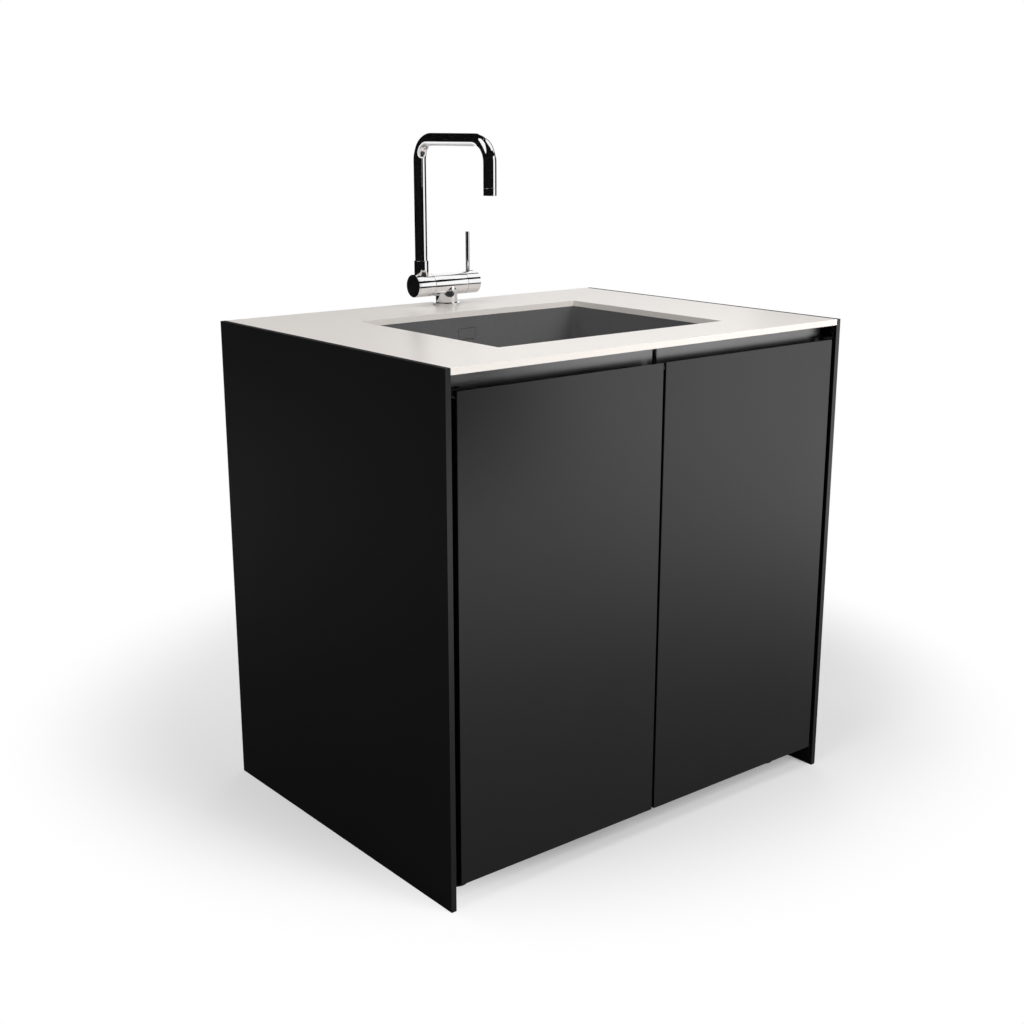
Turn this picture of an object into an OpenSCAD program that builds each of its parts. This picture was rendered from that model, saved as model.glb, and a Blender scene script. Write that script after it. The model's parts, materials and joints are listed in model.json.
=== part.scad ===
// Sink unit: a two-door base cabinet with a thin worktop, an undermount basin
// and a fold-down tap. Origin on the floor under the middle, X to the right,
// Y to the back, Z up. All sizes in millimetres.

/* [Cabinet] */
// Width over the two side panels
unit_w = 914; // [800:1:1200]
// Depth from the doors' front to the back
unit_d = 698; // [680:1:760]
// Height of the worktop's upper face
unit_h = 900; // [860:1:960]
// Thickness of the side panels
side_t = 10; // [8:1:20]
// Thickness of the worktop
top_t = 11; // [10:1:30]
// Thickness of the carcass boards
board_t = 16; // [15:1:19]
// Thickness of the back panel
back_t = 8; // [5:1:12]
// Depth of the grooves that hold the back panel
back_groove = 5; // [4:1:8]
// Height of the carcass bottom above the floor
plinth_h = 50; // [48:1:100]
// Height of the front and back rails
rail_h = 91; // [76:1:120]

/* [Doors] */
// Gap between a door and the side panel
side_gap = 11; // [9:0.5:14]
// Gap between the two doors
middle_gap = 5.5; // [3:0.5:8]
// Distance that the doors reach below the carcass bottom
door_drop = 6.5; // [4:0.5:8]
// Height of the open strip between the doors' front lip and the worktop
grip_h = 26; // [22:1:40]
// Depth of the finger groove behind the front lip
groove_deep = 12; // [8:1:20]
// Width of the finger groove, front to back
groove_w = 23; // [19:1:27]
// Height of the grip profile's rear leg below the groove
grip_leg = 36; // [30:1:60]
// Thickness of the grip profile's floor
grip_floor_t = 3; // [2:0.5:4]
// Thickness of a door's front tray
skin_t = 3; // [2:0.5:4]
// Thickness of the grip plate and of the back board
plate_t = 6; // [5:0.5:8]
// Gap between the grip plate and the worktop
plate_gap = 2; // [1:0.5:6]
// Gap between the closed doors and the carcass
door_gap = 4; // [3.5:0.5:7]

/* [Pivots] */
// Distance of the pivot axis from the door's outer edge
pivot_in = 10; // [9.5:0.5:12]
// Distance of the pivot axis behind the door's front
pivot_back = 14; // [12:0.5:15]
// Diameter of the pivot pins
pin_d = 6; // [5:0.5:7]
// Outer diameter of the pivot bushes
bush_d = 10; // [9:0.5:12]
// Length of the pivot bushes
bush_l = 18; // [12:1:24]
// Thickness of the pivot brackets
bracket_t = 3; // [2:0.5:3.5]
// Height of a pivot bracket's wall plate
bracket_h = 22; // [20:1:24]
// Diameter of the door magnets
magnet_d = 12; // [8:1:16]

/* [Feet] */
// Diameter of a foot's base
foot_d = 40; // [34:1:56]
// Height of a foot's base
foot_base_h = 9; // [6:1:12]
// Diameter of a foot's threaded stem
stem_d = 10; // [8:1:12]
// Distance of the feet from the unit's sides
foot_side = 68; // [64:1:140]
// Distance of the feet from the unit's front and back
foot_front = 79; // [60:1:120]

/* [Basin] */
// Width of the cut-out in the worktop
cut_w = 526; // [440:1:600]
// Depth of the cut-out, front to back
cut_d = 413; // [380:1:425]
// Distance from the worktop's front edge to the cut-out
cut_front = 118; // [110:1:124]
// Depth of the basin floor under the worktop
basin_depth = 199; // [190:1:230]
// Thickness of the basin's wall
basin_wall = 6; // [5:0.5:8]
// Radius of the basin's upright corners
basin_corner = 13; // [9:1:25]
// Width of the basin's flange
flange_w = 20; // [16:1:24]
// Thickness of the basin's flange
flange_t = 4; // [3:0.5:5]
// Width of the overflow cover
cover_w = 39.5; // [34:0.5:60]
// Height of the overflow cover
cover_h = 23; // [22:0.5:30]
// Distance of the overflow cover's middle from the unit's middle
cover_x = -14; // [-120:1:20]
// Distance of the overflow cover's upper edge below the worktop
cover_drop = 23; // [14:1:30]

/* [Waste] */
// Diameter of the drain hole in the basin floor
drain_d = 90; // [86:1:96]
// Width of the waste flange's lip around the drain hole
lip_w = 12; // [8:1:16]
// Outer diameter of the waste pipe
pipe_d = 40; // [36:1:44]
// Outer diameter of the overflow pipe
overflow_d = 24; // [20:1:24]
// Wall thickness of the plastic pipes
pipe_wall = 2.2; // [1.8:0.1:3]
// Height of the basin floor above the trap's side outlet
trap_drop = 155; // [148:1:190]
// Outer diameter of the trap's bottle
bottle_d = 70; // [64:1:84]
// Depth of the trap's bottle below its side outlet
bottle_deep = 95; // [80:1:120]

/* [Tap] */
// Distance of the tap from the unit's middle
tap_x = 24; // [-20:1:60]
// Distance of the tap from the worktop's back edge
tap_back = 49; // [46:1:56]
// Diameter of the tap's horizontal body
body_d = 45; // [42:1:50]
// Height of the body's axis above the worktop
axis_h = 41; // [36:1:60]
// Length of the turning section that carries the spout
carrier_l = 41; // [36:1:50]
// Length of the fixed middle section
body_l = 80.5; // [70:0.5:100]
// Length of the turning section with the lever
knob_l = 31; // [28:0.5:48]
// Diameter of the foot flange
foot_flange_d = 55; // [50:1:64]
// Height of the foot flange
foot_flange_h = 4; // [3:0.5:6]
// Diameter of the spout tube
spout_d = 25; // [22:1:26]
// Wall thickness of the spout tube
spout_wall = 2; // [1.5:0.25:3]
// Height of the spout's top run above the body's axis
spout_rise = 281; // [220:1:320]
// Distance that the spout reaches forward
spout_reach = 221; // [180:1:228]
// Height of the spout's top run above its outlet
spout_drop = 99; // [80:1:140]
// Radius of the spout's bends
bend_r = 40; // [32:1:60]
// Height of the outlet piece at the spout's end
outlet_h = 13.6; // [10:0.2:20]
// Diameter of the spout's collar
collar_d = 29; // [28:1:34]
// Height of the collar above the body's axis
collar_h = 49; // [42:1:64]
// Diameter of the pin lever
lever_d = 8; // [6:0.5:9]
// Height of the pin lever above the body's axis
lever_h = 101; // [80:1:130]
// Distance of the lever from the seam beside it
lever_in = 14; // [13:0.5:16]
// Diameter of the threaded shank under the tap
shank_d = 33; // [30:1:36]
// Length of the shank below the worktop's underside
shank_l = 42; // [34:1:60]

/* [Supply] */
// Outer diameter of the supply hoses
hose_d = 11; // [9:0.5:12]
// Distance of each stop valve from the tap's axis
valve_x = 70; // [60:1:110]
// Height of the stop valves above the floor
valve_z = 430; // [380:1:440]
// Thread diameter of the supply inlets
inlet_d = 21; // [18:0.5:26]

/* [Fixings] */
// Running clearance around pins and shafts
fit = 0.05; // [0.02:0.01:0.08]
// Clearance between neighbouring pieces
ease = 0.3; // [0.2:0.05:0.5]
// Distance between the wall fixing holes in the back rail
wall_pitch = 600; // [500:1:680]
// Diameter of the wall fixing holes
wall_hole_d = 6.5; // [5:0.5:8]

/* [Hidden] */
$fn = 48;

// Directions that turn a piece's own +Z
to_right = [0, 90, 0];
to_left = [0, -90, 0];
to_back = [-90, 0, 0];
to_front = [90, 0, 0];

// Planes of the unit
x_out = unit_w / 2;
x_in = x_out - side_t;
x_board = x_in - board_t;
y_front = -unit_d / 2;
y_back = unit_d / 2;
z_under = unit_h - top_t;
z_floor = plinth_h + board_t;

// Doors: the rest of the door hangs behind its front face
door_t = skin_t + groove_w + plate_t;
y_groove = y_front + skin_t;
y_plate = y_groove + groove_w;
y_rear = y_front + door_t;
y_case = y_rear + door_gap;
door_x0 = middle_gap / 2;
door_x1 = x_in - side_gap;
door_z0 = plinth_h - door_drop;
door_z1 = z_under - grip_h;
groove_z = door_z1 - groove_deep;
plate_top = z_under - plate_gap;
leg_z = groove_z - grip_leg;
edge_r = 1;
magnet_x = door_x0 + 30;
magnet_z = (leg_z + groove_z) / 2;
magnet_deep = 6;
strike_t = 1;
strike_r = magnet_d / 2 + 3;
grip_screw_end = 70;
grip_screw_x = [for (k = [0:2])
    door_x0 + grip_screw_end + k * (door_x1 - door_x0 - 2 * grip_screw_end) / 2];

// Pivots
pivot_x = door_x1 - pivot_in;
pivot_y = y_front + pivot_back;
pivot_head_d = pin_d + 3;
pivot_head_h = 1.5;
bush_tip = 2;
tongue_gap = 2 * ease;
tongue_w = 16;
tongue_top_z = door_z1 + tongue_gap;
tongue_low_z = door_z0 - tongue_gap - bracket_t;
bracket_y1 = y_case - 1;
bracket_screw_y = [pivot_y - 4, pivot_y + 10];
bracket_screw_z = [tongue_top_z + bracket_h / 2 + 1, tongue_low_z + bracket_t - bracket_h / 2 - 1];

// Back panel in front of the back rail, and the wall fixing holes
y_panel = y_back - board_t - back_t;
wall_hole_z = z_under - rail_h + 23;
wall_access_d = wall_hole_d + 12;

// Basin
cut_y0 = y_front + cut_front;
cut_y1 = cut_y0 + cut_d;
cut_y = cut_y0 + cut_d / 2;
basin_z = z_under - basin_depth;
wall_y = cut_y1 + basin_wall;
cover_z = z_under - cover_drop - cover_h / 2;
cover_t = 2;
clip_t = 3;
clip_reach = 10;
clip_w = 24;
clip_post = 10;
clip_end = 90;
clip_x = -basin_wall - flange_w - clip_post;

// Waste, centred in the basin
drain_y = cut_y;
lip_t = 1.6;
neck_t = 2.4;
neck_h = 20;
cup_deep = 50;
cup_z = basin_z - cup_deep;
cup_wall = 3;
cup_r = drain_d / 2 + cup_wall;
cup_bore_r = drain_d / 2 - 4;
cup_rim_w = 8;
cup_rim_r = cup_r + cup_rim_w;
cup_rim_h = 5;
pipe_r = pipe_d / 2;
overflow_r = overflow_d / 2;
port_wall = 2;
port_r = overflow_r + port_wall;
port_l = 14;
port_y = drain_y + cup_r + port_l;
port_rise = 17;
port_z = cup_z + port_rise;
stub_r = pipe_r - 2;
stub_l = 42;
stub_z = cup_z - stub_l;
overflow_bend = 20;
overflow_out = 5;
overflow_plate_t = 4;
overflow_y = wall_y + overflow_bend + overflow_out;
trap_z = basin_z - trap_drop;
bottle_r = bottle_d / 2;
bottle_rise = 6;
bottle_top = trap_z + pipe_r + bottle_rise;
bottle_z = trap_z - bottle_deep;
bottle_wall = 3;
inlet_lap = 14;
inlet_r_out = pipe_r + 2;
inlet_top = stub_z + inlet_lap;
arm_l = 30;
arm_y = drain_y + bottle_r + arm_l;
arm_r = pipe_r + 3;
cap_gap = 1;
cap_lap = 12;
cap_h = bottle_deep - arm_r - cap_gap;
body_low_z = trap_z - arm_r - cap_gap - cap_lap;
dip_r = pipe_r - 4;
dip_wall = 2;
dip_gap = 20;
dip_z = bottle_z + dip_gap;
socket_l = 19;
trap_pipe_r = pipe_r - 0.5;
basket_wall = 1.5;
basket_rim_h = 3;
basket_hole_r = 2;
stalk_r = 3;
knob_r = 11;
knob_rise = 12;
knob_h = 4;

// Tap
tap_y = y_back - tap_back;
axis_z = unit_h + axis_h;
body_r = body_d / 2;
post_r = body_r - 0.2;
carrier_x1 = tap_x - body_l / 2;
carrier_x0 = carrier_x1 - carrier_l;
knob_x0 = tap_x + body_l / 2;
knob_x1 = knob_x0 + knob_l;
cap_t = 3;
spout_x = carrier_x0 + carrier_l / 2;
spout_r = spout_d / 2;
spigot_r = spout_r - 2;
neck_r = spigot_r + 2.5;
top_z = axis_z + spout_rise;
outlet_y = tap_y - spout_reach;
outlet_z = top_z - spout_drop;
collar_z = axis_z + collar_h;
neck_z = axis_z + 9;
lever_x = knob_x0 + lever_in;
lever_r = lever_d / 2;
lever_tilt = 18;
hub_r = lever_r + 3;
axle_d = 5;
knob_bore_r = body_r - 5.5;
cartridge_l = 33;
cartridge_nose = 4;
knob_room = 5;
stub_pin_r = 6;
shaft_r = 12;
shaft_l = 19;
shank_r = shank_d / 2;
shank_bore_r = shank_r - 2.5;
shank_z = z_under - shank_l;
washer_t = 4;
washer_rim = 5;
nut_h = 8;
nut_rim = 7;

// Supply
hose_r = hose_d / 2;
hose_side = hose_r + 1.5;
hose_run = valve_x - hose_side;
valve_y = y_panel - 25;
outlet_pipe_r = 9;
valve_top = valve_z + 32;
inlet_r = inlet_d / 2;
tail_r = inlet_r + 1.5;
valve_r = 13;
valve_l = 12;
valve_bore_l = 60;
valve_plate_r = 17;
valve_plate_t = 6;
lock_nut_h = 5;
handle_l = 34;
handle_w = 10;
handle_t = 6;
hub_h = 9;
ferrule_h = 18;
hose_z1 = shank_z - 6 - ferrule_h;
hose_z0 = valve_top + ferrule_h;

// Feet
foot_ring_d = foot_d - 12;
foot_ring_h = 5;

// Fasteners
screw_d = 4;
screw_head_d = 7.5;
screw_head_h = 2;
dowel_d = 5;
dowel_head_d = 9;
dowel_head_h = 4;
dowel_l = 45;
dowel_end = 60;
rail_dowel_end = 20;
side_screw_end = 90;
side_screw_low = 80;
side_screw_high = 60;
rail_screw_end = 70;
grip_screw_l = 16;
panel_screw_l = board_t + side_t - 3;
bracket_screw_l = bracket_t + side_t - 3;
clip_screw_l = clip_t + flange_t + top_t - 4;
socket_screw_l = 16;
socket_t = 4;
boss_h = 20;
boss_r = stem_d / 2 + 6;
socket_r = boss_r + 16;

dowel_places = concat(
    [for (y = [y_case + dowel_end, 0, y_back - dowel_end]) [y, plinth_h + board_t / 2]],
    [for (z = [z_under - rail_h + rail_dowel_end, z_under - rail_dowel_end],
        y = [y_case + board_t / 2, y_back - board_t / 2]) [y, z]]
);
panel_screw_places = [for (y = [y_case + side_screw_end, y_panel - side_screw_end],
    z = [z_floor + side_screw_low, z_under - rail_h - side_screw_high]) [y, z]];
rail_screw_places = [for (k = [-1.5, -0.5, 0.5, 1.5]) k * (x_board - rail_screw_end) / 1.5];
foot_places = [for (sy = [-1, 1], sx = [-1, 1])
    [sx * (x_out - foot_side), sy * (unit_d / 2 - foot_front)]];
clip_places = [
    [-cut_w / 2, cut_y0 + clip_end, 0], [-cut_w / 2, cut_y1 - clip_end, 0],
    [cut_w / 2, cut_y0 + clip_end, 180], [cut_w / 2, cut_y1 - clip_end, 180],
    [0, cut_y0, 90], [-cut_w / 2 + clip_end, cut_y1, -90]
];

// Shared shapes

// Box from its two corners
module block(low, high) {
    translate(low) cube(high - low);
}

// Children drawn on both sides of the unit
module both_sides() {
    children();
    mirror([1, 0, 0]) children();
}

// Screw with its shank along +Z and its head below zero
module screw(d, l, head_d, head_h) {
    cylinder(d = d, h = l);
    translate([0, 0, -head_h]) cylinder(d = head_d, h = head_h);
}

// Hole for the shank of a screw, open at the head's side
module screw_hole(d, l) {
    translate([0, 0, -1]) cylinder(d = d + 2 * fit, h = l + 1 + ease);
}

// Tube round one quarter or less, starting at +X, in the XY plane
module bend(r, bend_radius, angle) {
    rotate_extrude(angle = angle) translate([bend_radius, 0]) circle(r = r);
}

// Rectangle with round corners, centred, as a solid
module round_block(w, d, r, h) {
    linear_extrude(h) {
        square([w - 2 * r, d], center = true);
        square([w, d - 2 * r], center = true);
        for (sx = [-1, 1], sy = [-1, 1])
            translate([sx * (w / 2 - r), sy * (d / 2 - r)]) circle(r = r);
    }
}

// Flat slab in plan with its two front edges rounded
module front_rounded(x0, x1, y0, y1, r, h) {
    linear_extrude(h) {
        translate([x0, y0 + r]) square([x1 - x0, y1 - y0 - r]);
        translate([x0 + r, y0]) square([x1 - x0 - 2 * r, r]);
        for (x = [x0 + r, x1 - r]) translate([x, y0 + r]) circle(r = r);
    }
}

// Cabinet

module side_panel() {
    difference() {
        block([x_in, y_front, 0], [x_out, y_back, unit_h]);
        for (p = panel_screw_places)
            translate([x_board, p[0], p[1]]) rotate(to_right) screw_hole(screw_d, panel_screw_l);
        for (z = bracket_screw_z, y = bracket_screw_y)
            translate([x_in - bracket_t, y, z]) rotate(to_right)
                screw_hole(screw_d, bracket_screw_l);
    }
}

module side_panel_left() {
    color([0.09, 0.09, 0.09]) mirror([1, 0, 0]) side_panel();
}

module side_panel_right() {
    color([0.09, 0.09, 0.09]) side_panel();
}

module worktop() {
    color([0.88, 0.86, 0.84])
        difference() {
            block([-x_in, y_front, z_under], [x_in, y_back, unit_h]);
            block([-cut_w / 2, cut_y0, z_under - 1], [cut_w / 2, cut_y1, unit_h + 1]);
            translate([tap_x, tap_y, z_under - 1]) cylinder(r = shank_r + 1, h = top_t + 2);
            for (p = clip_places) clip_screw_place(p) screw_hole(screw_d, clip_screw_l);
        }
}

module carcass_side() {
    difference() {
        block([x_board, y_case, plinth_h], [x_in, y_back, z_under]);
        block([x_board - 1, y_panel, plinth_h + board_t - back_groove],
            [x_board + back_groove, y_panel + back_t, z_under + 1]);
        for (p = dowel_places) translate([x_in, p[0], p[1]]) rotate(to_left) {
            screw_hole(dowel_d, board_t);
            translate([0, 0, -1]) cylinder(d = dowel_head_d + 2 * fit, h = dowel_head_h + 1);
        }
        for (p = panel_screw_places)
            translate([x_board, p[0], p[1]]) rotate(to_right) screw_hole(screw_d, board_t);
    }
}

module carcass_side_left() {
    color([0.3, 0.3, 0.31]) mirror([1, 0, 0]) carcass_side();
}

module carcass_side_right() {
    color([0.3, 0.3, 0.31]) carcass_side();
}

// Holes for the screws that enter a board's end from both sides
module dowel_holes() {
    both_sides() for (p = dowel_places)
        translate([x_in, p[0], p[1]]) rotate(to_left) translate([0, 0, dowel_head_h])
            screw_hole(dowel_d, dowel_l - dowel_head_h);
}

module carcass_bottom() {
    color([0.3, 0.3, 0.31])
        difference() {
            block([-x_board, y_case, plinth_h], [x_board, y_back, z_floor]);
            block([-x_board - 1, y_panel, z_floor - back_groove],
                [x_board + 1, y_panel + back_t, z_floor + 1]);
            dowel_holes();
            for (p = foot_places) translate([p[0], p[1], 0]) socket_screw_turns()
                translate([0, 0, plinth_h - socket_t]) screw_hole(screw_d, socket_screw_l);
        }
}

module back_panel() {
    color([0.3, 0.3, 0.31])
        difference() {
            block([-x_board - back_groove + ease, y_panel, z_floor - back_groove + ease],
                [x_board + back_groove - ease, y_panel + back_t, z_under]);
            translate([0, y_panel - 1, trap_z]) rotate(to_back)
                cylinder(r = pipe_r + ease, h = back_t + 2);
            for (s = [-1, 1]) translate([tap_x + s * valve_x, y_panel - 1, valve_z])
                rotate(to_back) cylinder(r = tail_r + ease, h = back_t + 2);
            for (s = [-1, 1]) translate([s * wall_pitch / 2, y_panel - 1, wall_hole_z])
                rotate(to_back) cylinder(d = wall_access_d, h = back_t + 2);
            for (x = rail_screw_places) translate([x, y_panel, z_under - rail_h / 2])
                rotate(to_back) screw_hole(screw_d, back_t);
        }
}

module front_rail() {
    color([0.3, 0.3, 0.31])
        difference() {
            block([-x_board, y_case, z_under - rail_h], [x_board, y_case + board_t, z_under]);
            dowel_holes();
            for (s = [-1, 1]) translate([s * magnet_x, y_case - 1, magnet_z])
                rotate(to_back) cylinder(d = magnet_d + 2 * fit, h = magnet_deep + 1);
        }
}

module back_rail() {
    color([0.3, 0.3, 0.31])
        difference() {
            block([-x_board, y_back - board_t, z_under - rail_h], [x_board, y_back, z_under]);
            dowel_holes();
            for (x = rail_screw_places) translate([x, y_panel, z_under - rail_h / 2])
                rotate(to_back) screw_hole(screw_d, back_t + board_t - 4);
            for (s = [-1, 1]) translate([s * wall_pitch / 2, y_back - board_t - 1, wall_hole_z])
                rotate(to_back) cylinder(d = wall_hole_d, h = board_t + 2);
        }
}

module carcass_screws() {
    color([0.6, 0.6, 0.62])
        both_sides() for (p = dowel_places)
            translate([x_in - dowel_head_h, p[0], p[1]]) rotate(to_left)
                screw(dowel_d, dowel_l - dowel_head_h, dowel_head_d, dowel_head_h);
}

module panel_screws() {
    color([0.6, 0.6, 0.62]) {
        both_sides() for (p = panel_screw_places)
            translate([x_board, p[0], p[1]]) rotate(to_right)
                screw(screw_d, panel_screw_l, screw_head_d, screw_head_h);
        for (x = rail_screw_places) translate([x, y_panel, z_under - rail_h / 2])
            rotate(to_back)
                screw(screw_d, back_t + board_t - 4, screw_head_d, screw_head_h);
    }
}

// Feet

module socket_screw_turns() {
    for (a = [90, 210, 330]) rotate(a) translate([(boss_r + socket_r) / 2, 0, 0]) children();
}

module foot_sockets() {
    color([0.12, 0.12, 0.12])
        for (p = foot_places) translate([p[0], p[1], 0])
            difference() {
                union() {
                    translate([0, 0, plinth_h - boss_h]) cylinder(r = boss_r, h = boss_h);
                    translate([0, 0, plinth_h - socket_t]) cylinder(r = socket_r, h = socket_t);
                }
                cylinder(r = stem_d / 2 + fit, h = plinth_h + 1);
                socket_screw_turns() translate([0, 0, plinth_h - socket_t])
                    screw_hole(screw_d, socket_t + 1);
            }
}

// Foot with a base, a ring to grip and a stem that turns in its socket
module foot(p) {
    color([0.1, 0.1, 0.1])
        translate([p[0], p[1], 0]) {
            cylinder(d = foot_d, h = foot_base_h);
            cylinder(d = foot_ring_d, h = foot_base_h + foot_ring_h);
            cylinder(d = stem_d, h = plinth_h - socket_t);
        }
}

module foot_front_left() {
    foot(foot_places[0]);
}

module foot_front_right() {
    foot(foot_places[1]);
}

module foot_back_left() {
    foot(foot_places[2]);
}

module foot_back_right() {
    foot(foot_places[3]);
}

// Pivots

// Bracket with its tongue at height z and its wall plate between two heights
module pivot_bracket(z, plate_z0, plate_z1) {
    difference() {
        union() {
            block([pivot_x, pivot_y - tongue_w / 2, z], [x_in, pivot_y + tongue_w / 2,
                z + bracket_t]);
            translate([pivot_x, pivot_y, z]) cylinder(d = tongue_w, h = bracket_t);
            block([x_in - bracket_t, pivot_y - tongue_w / 2, plate_z0],
                [x_in, bracket_y1, plate_z1]);
        }
        translate([pivot_x, pivot_y, z - 1]) cylinder(d = pin_d + 2 * fit, h = bracket_t + 2);
        for (sz = bracket_screw_z, y = bracket_screw_y)
            translate([x_in - bracket_t, y, sz]) rotate(to_right) screw_hole(screw_d, bracket_t);
    }
}

module pivot_brackets() {
    color([0.08, 0.08, 0.08]) both_sides() {
        pivot_bracket(tongue_top_z, tongue_top_z, tongue_top_z + bracket_h);
        pivot_bracket(tongue_low_z, tongue_low_z + bracket_t - bracket_h,
            tongue_low_z + bracket_t);
    }
}

module pivot_pins() {
    color([0.7, 0.7, 0.72]) both_sides() {
        translate([pivot_x, pivot_y, groove_z - bush_l + bush_tip])
            cylinder(d = pin_d, h = tongue_top_z + bracket_t - groove_z + bush_l - bush_tip);
        translate([pivot_x, pivot_y, tongue_top_z + bracket_t])
            cylinder(d = pivot_head_d, h = pivot_head_h);
        translate([pivot_x, pivot_y, tongue_low_z - pivot_head_h]) {
            cylinder(d = pivot_head_d, h = pivot_head_h);
            cylinder(d = pin_d, h = pivot_head_h + bracket_t + tongue_gap + bush_l - bush_tip);
        }
    }
}

module door_magnets() {
    color([0.5, 0.5, 0.52])
        for (s = [-1, 1]) translate([s * magnet_x, y_rear + ease, magnet_z])
            rotate(to_back) cylinder(d = magnet_d, h = magnet_deep + door_gap - ease);
}

module fitting_screws() {
    color([0.6, 0.6, 0.62]) {
        both_sides() for (z = bracket_screw_z, y = bracket_screw_y)
            translate([x_in - bracket_t, y, z]) rotate(to_right)
                screw(screw_d, bracket_screw_l, screw_head_d, screw_head_h);
        for (p = foot_places) translate([p[0], p[1], 0]) socket_screw_turns()
            translate([0, 0, plinth_h - socket_t])
                screw(screw_d, socket_screw_l, screw_head_d, screw_head_h);
        for (p = clip_places) clip_screw_place(p)
            screw(screw_d, clip_screw_l, screw_head_d, screw_head_h);
    }
}

// Doors, drawn as the right door and mirrored for the left one

module door_tray() {
    difference() {
        union() {
            translate([0, 0, door_z0])
                front_rounded(door_x0, door_x1, y_front, y_groove, edge_r, door_z1 - door_z0);
            block([door_x0, y_groove - 1, door_z0], [door_x0 + skin_t, y_plate, groove_z]);
            block([door_x1 - skin_t, y_groove - 1, door_z0], [door_x1, y_plate, groove_z]);
            block([door_x0, y_groove - 1, door_z0], [door_x1, y_plate, door_z0 + skin_t]);
        }
        translate([pivot_x, pivot_y, door_z0 - 1]) cylinder(d = bush_d + 2 * fit,
            h = skin_t + 2);
    }
}

module door_core() {
    difference() {
        block([door_x0 + skin_t, y_groove, door_z0 + skin_t],
            [door_x1 - skin_t, y_plate, groove_z - grip_floor_t]);
        for (z = [door_z0, groove_z - bush_l - bush_tip]) translate([pivot_x, pivot_y, z])
            cylinder(d = bush_d + 2 * fit, h = bush_l + bush_tip);
        for (x = grip_screw_x) translate([x, y_rear, magnet_z]) rotate(to_front)
            screw_hole(screw_d, grip_screw_l);
    }
}

module door_back() {
    block([door_x0, y_plate, door_z0], [door_x1, y_rear, leg_z]);
}

// Floor of the groove and the plate that rises behind it, with round upright edges
module grip_profile() {
    difference() {
        union() {
            block([door_x0 + plate_t / 2, y_plate, leg_z], [door_x1 - plate_t / 2, y_rear,
                plate_top]);
            for (x = [door_x0 + plate_t / 2, door_x1 - plate_t / 2])
                translate([x, y_plate + plate_t / 2, leg_z]) cylinder(d = plate_t,
                    h = plate_top - leg_z);
            block([door_x0 + skin_t, y_groove, groove_z - grip_floor_t],
                [door_x1 - skin_t, y_rear - 1, groove_z]);
        }
        translate([pivot_x, pivot_y, groove_z - grip_floor_t - 1])
            cylinder(d = bush_d + 2 * fit, h = grip_floor_t + 2);
        translate([magnet_x, y_rear + 1, magnet_z]) rotate(to_front)
            cylinder(r = strike_r, h = strike_t + 1);
        for (x = grip_screw_x) translate([x, y_rear, magnet_z]) rotate(to_front) {
            screw_hole(screw_d, plate_t);
            translate([0, 0, -1]) cylinder(d = screw_head_d + 2 * fit, h = screw_head_h + 1);
        }
    }
}

module door_fittings() {
    for (z = [door_z0 - ease, groove_z - bush_l]) translate([pivot_x, pivot_y, z])
        difference() {
            cylinder(d = bush_d, h = bush_l);
            translate([0, 0, -1]) cylinder(d = pin_d + 2 * fit, h = bush_l + 2);
        }
    translate([magnet_x, y_rear, magnet_z]) rotate(to_front)
        cylinder(r = strike_r - fit, h = strike_t);
    for (x = grip_screw_x) translate([x, y_rear - screw_head_h, magnet_z]) rotate(to_front)
        screw(screw_d, grip_screw_l - screw_head_h, screw_head_d, screw_head_h);
}

module left_door_tray() {
    color([0.24, 0.24, 0.25]) mirror([1, 0, 0]) door_tray();
}

module left_door_core() {
    color([0.6, 0.52, 0.4]) mirror([1, 0, 0]) door_core();
}

module left_door_back() {
    color([0.24, 0.24, 0.25]) mirror([1, 0, 0]) door_back();
}

module left_grip_profile() {
    color([0.55, 0.55, 0.56]) mirror([1, 0, 0]) grip_profile();
}

module left_door_fittings() {
    color([0.7, 0.7, 0.72]) mirror([1, 0, 0]) door_fittings();
}

module right_door_tray() {
    color([0.24, 0.24, 0.25]) door_tray();
}

module right_door_core() {
    color([0.6, 0.52, 0.4]) door_core();
}

module right_door_back() {
    color([0.24, 0.24, 0.25]) door_back();
}

module right_grip_profile() {
    color([0.55, 0.55, 0.56]) grip_profile();
}

module right_door_fittings() {
    color([0.7, 0.7, 0.72]) door_fittings();
}

// Basin

module basin() {
    color([0.37, 0.37, 0.38])
        difference() {
            translate([0, cut_y, 0]) difference() {
                union() {
                    translate([0, 0, basin_z - basin_wall])
                        round_block(cut_w + 2 * basin_wall, cut_d + 2 * basin_wall,
                            basin_corner + basin_wall, z_under - basin_z + basin_wall);
                    translate([0, 0, z_under - flange_t])
                        round_block(cut_w + 2 * (basin_wall + flange_w),
                            cut_d + 2 * (basin_wall + flange_w), basin_corner + basin_wall,
                            flange_t);
                }
                translate([0, 0, basin_z]) round_block(cut_w, cut_d, basin_corner,
                    basin_depth + 1);
            }
            translate([0, drain_y, basin_z - basin_wall - 1])
                cylinder(d = drain_d, h = basin_wall + 2);
            block([cover_x - cover_w / 2 - ease, cut_y1 - 1, cover_z - cover_h / 2 - ease],
                [cover_x + cover_w / 2 + ease, cut_y1 + cover_t, cover_z + cover_h / 2 + ease]);
            translate([cover_x, cut_y1, cover_z]) rotate(to_back)
                cylinder(r = overflow_r - pipe_wall, h = basin_wall + 1);
        }
}

// Place on the cut-out's edge, turned so that +X points towards the basin
module clip_place(p) {
    translate([p[0], p[1], 0]) rotate(p[2]) children();
}

module clip_screw_place(p) {
    clip_place(p) translate([clip_x + clip_post / 2 - ease, 0, z_under - flange_t - clip_t])
        children();
}

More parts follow.
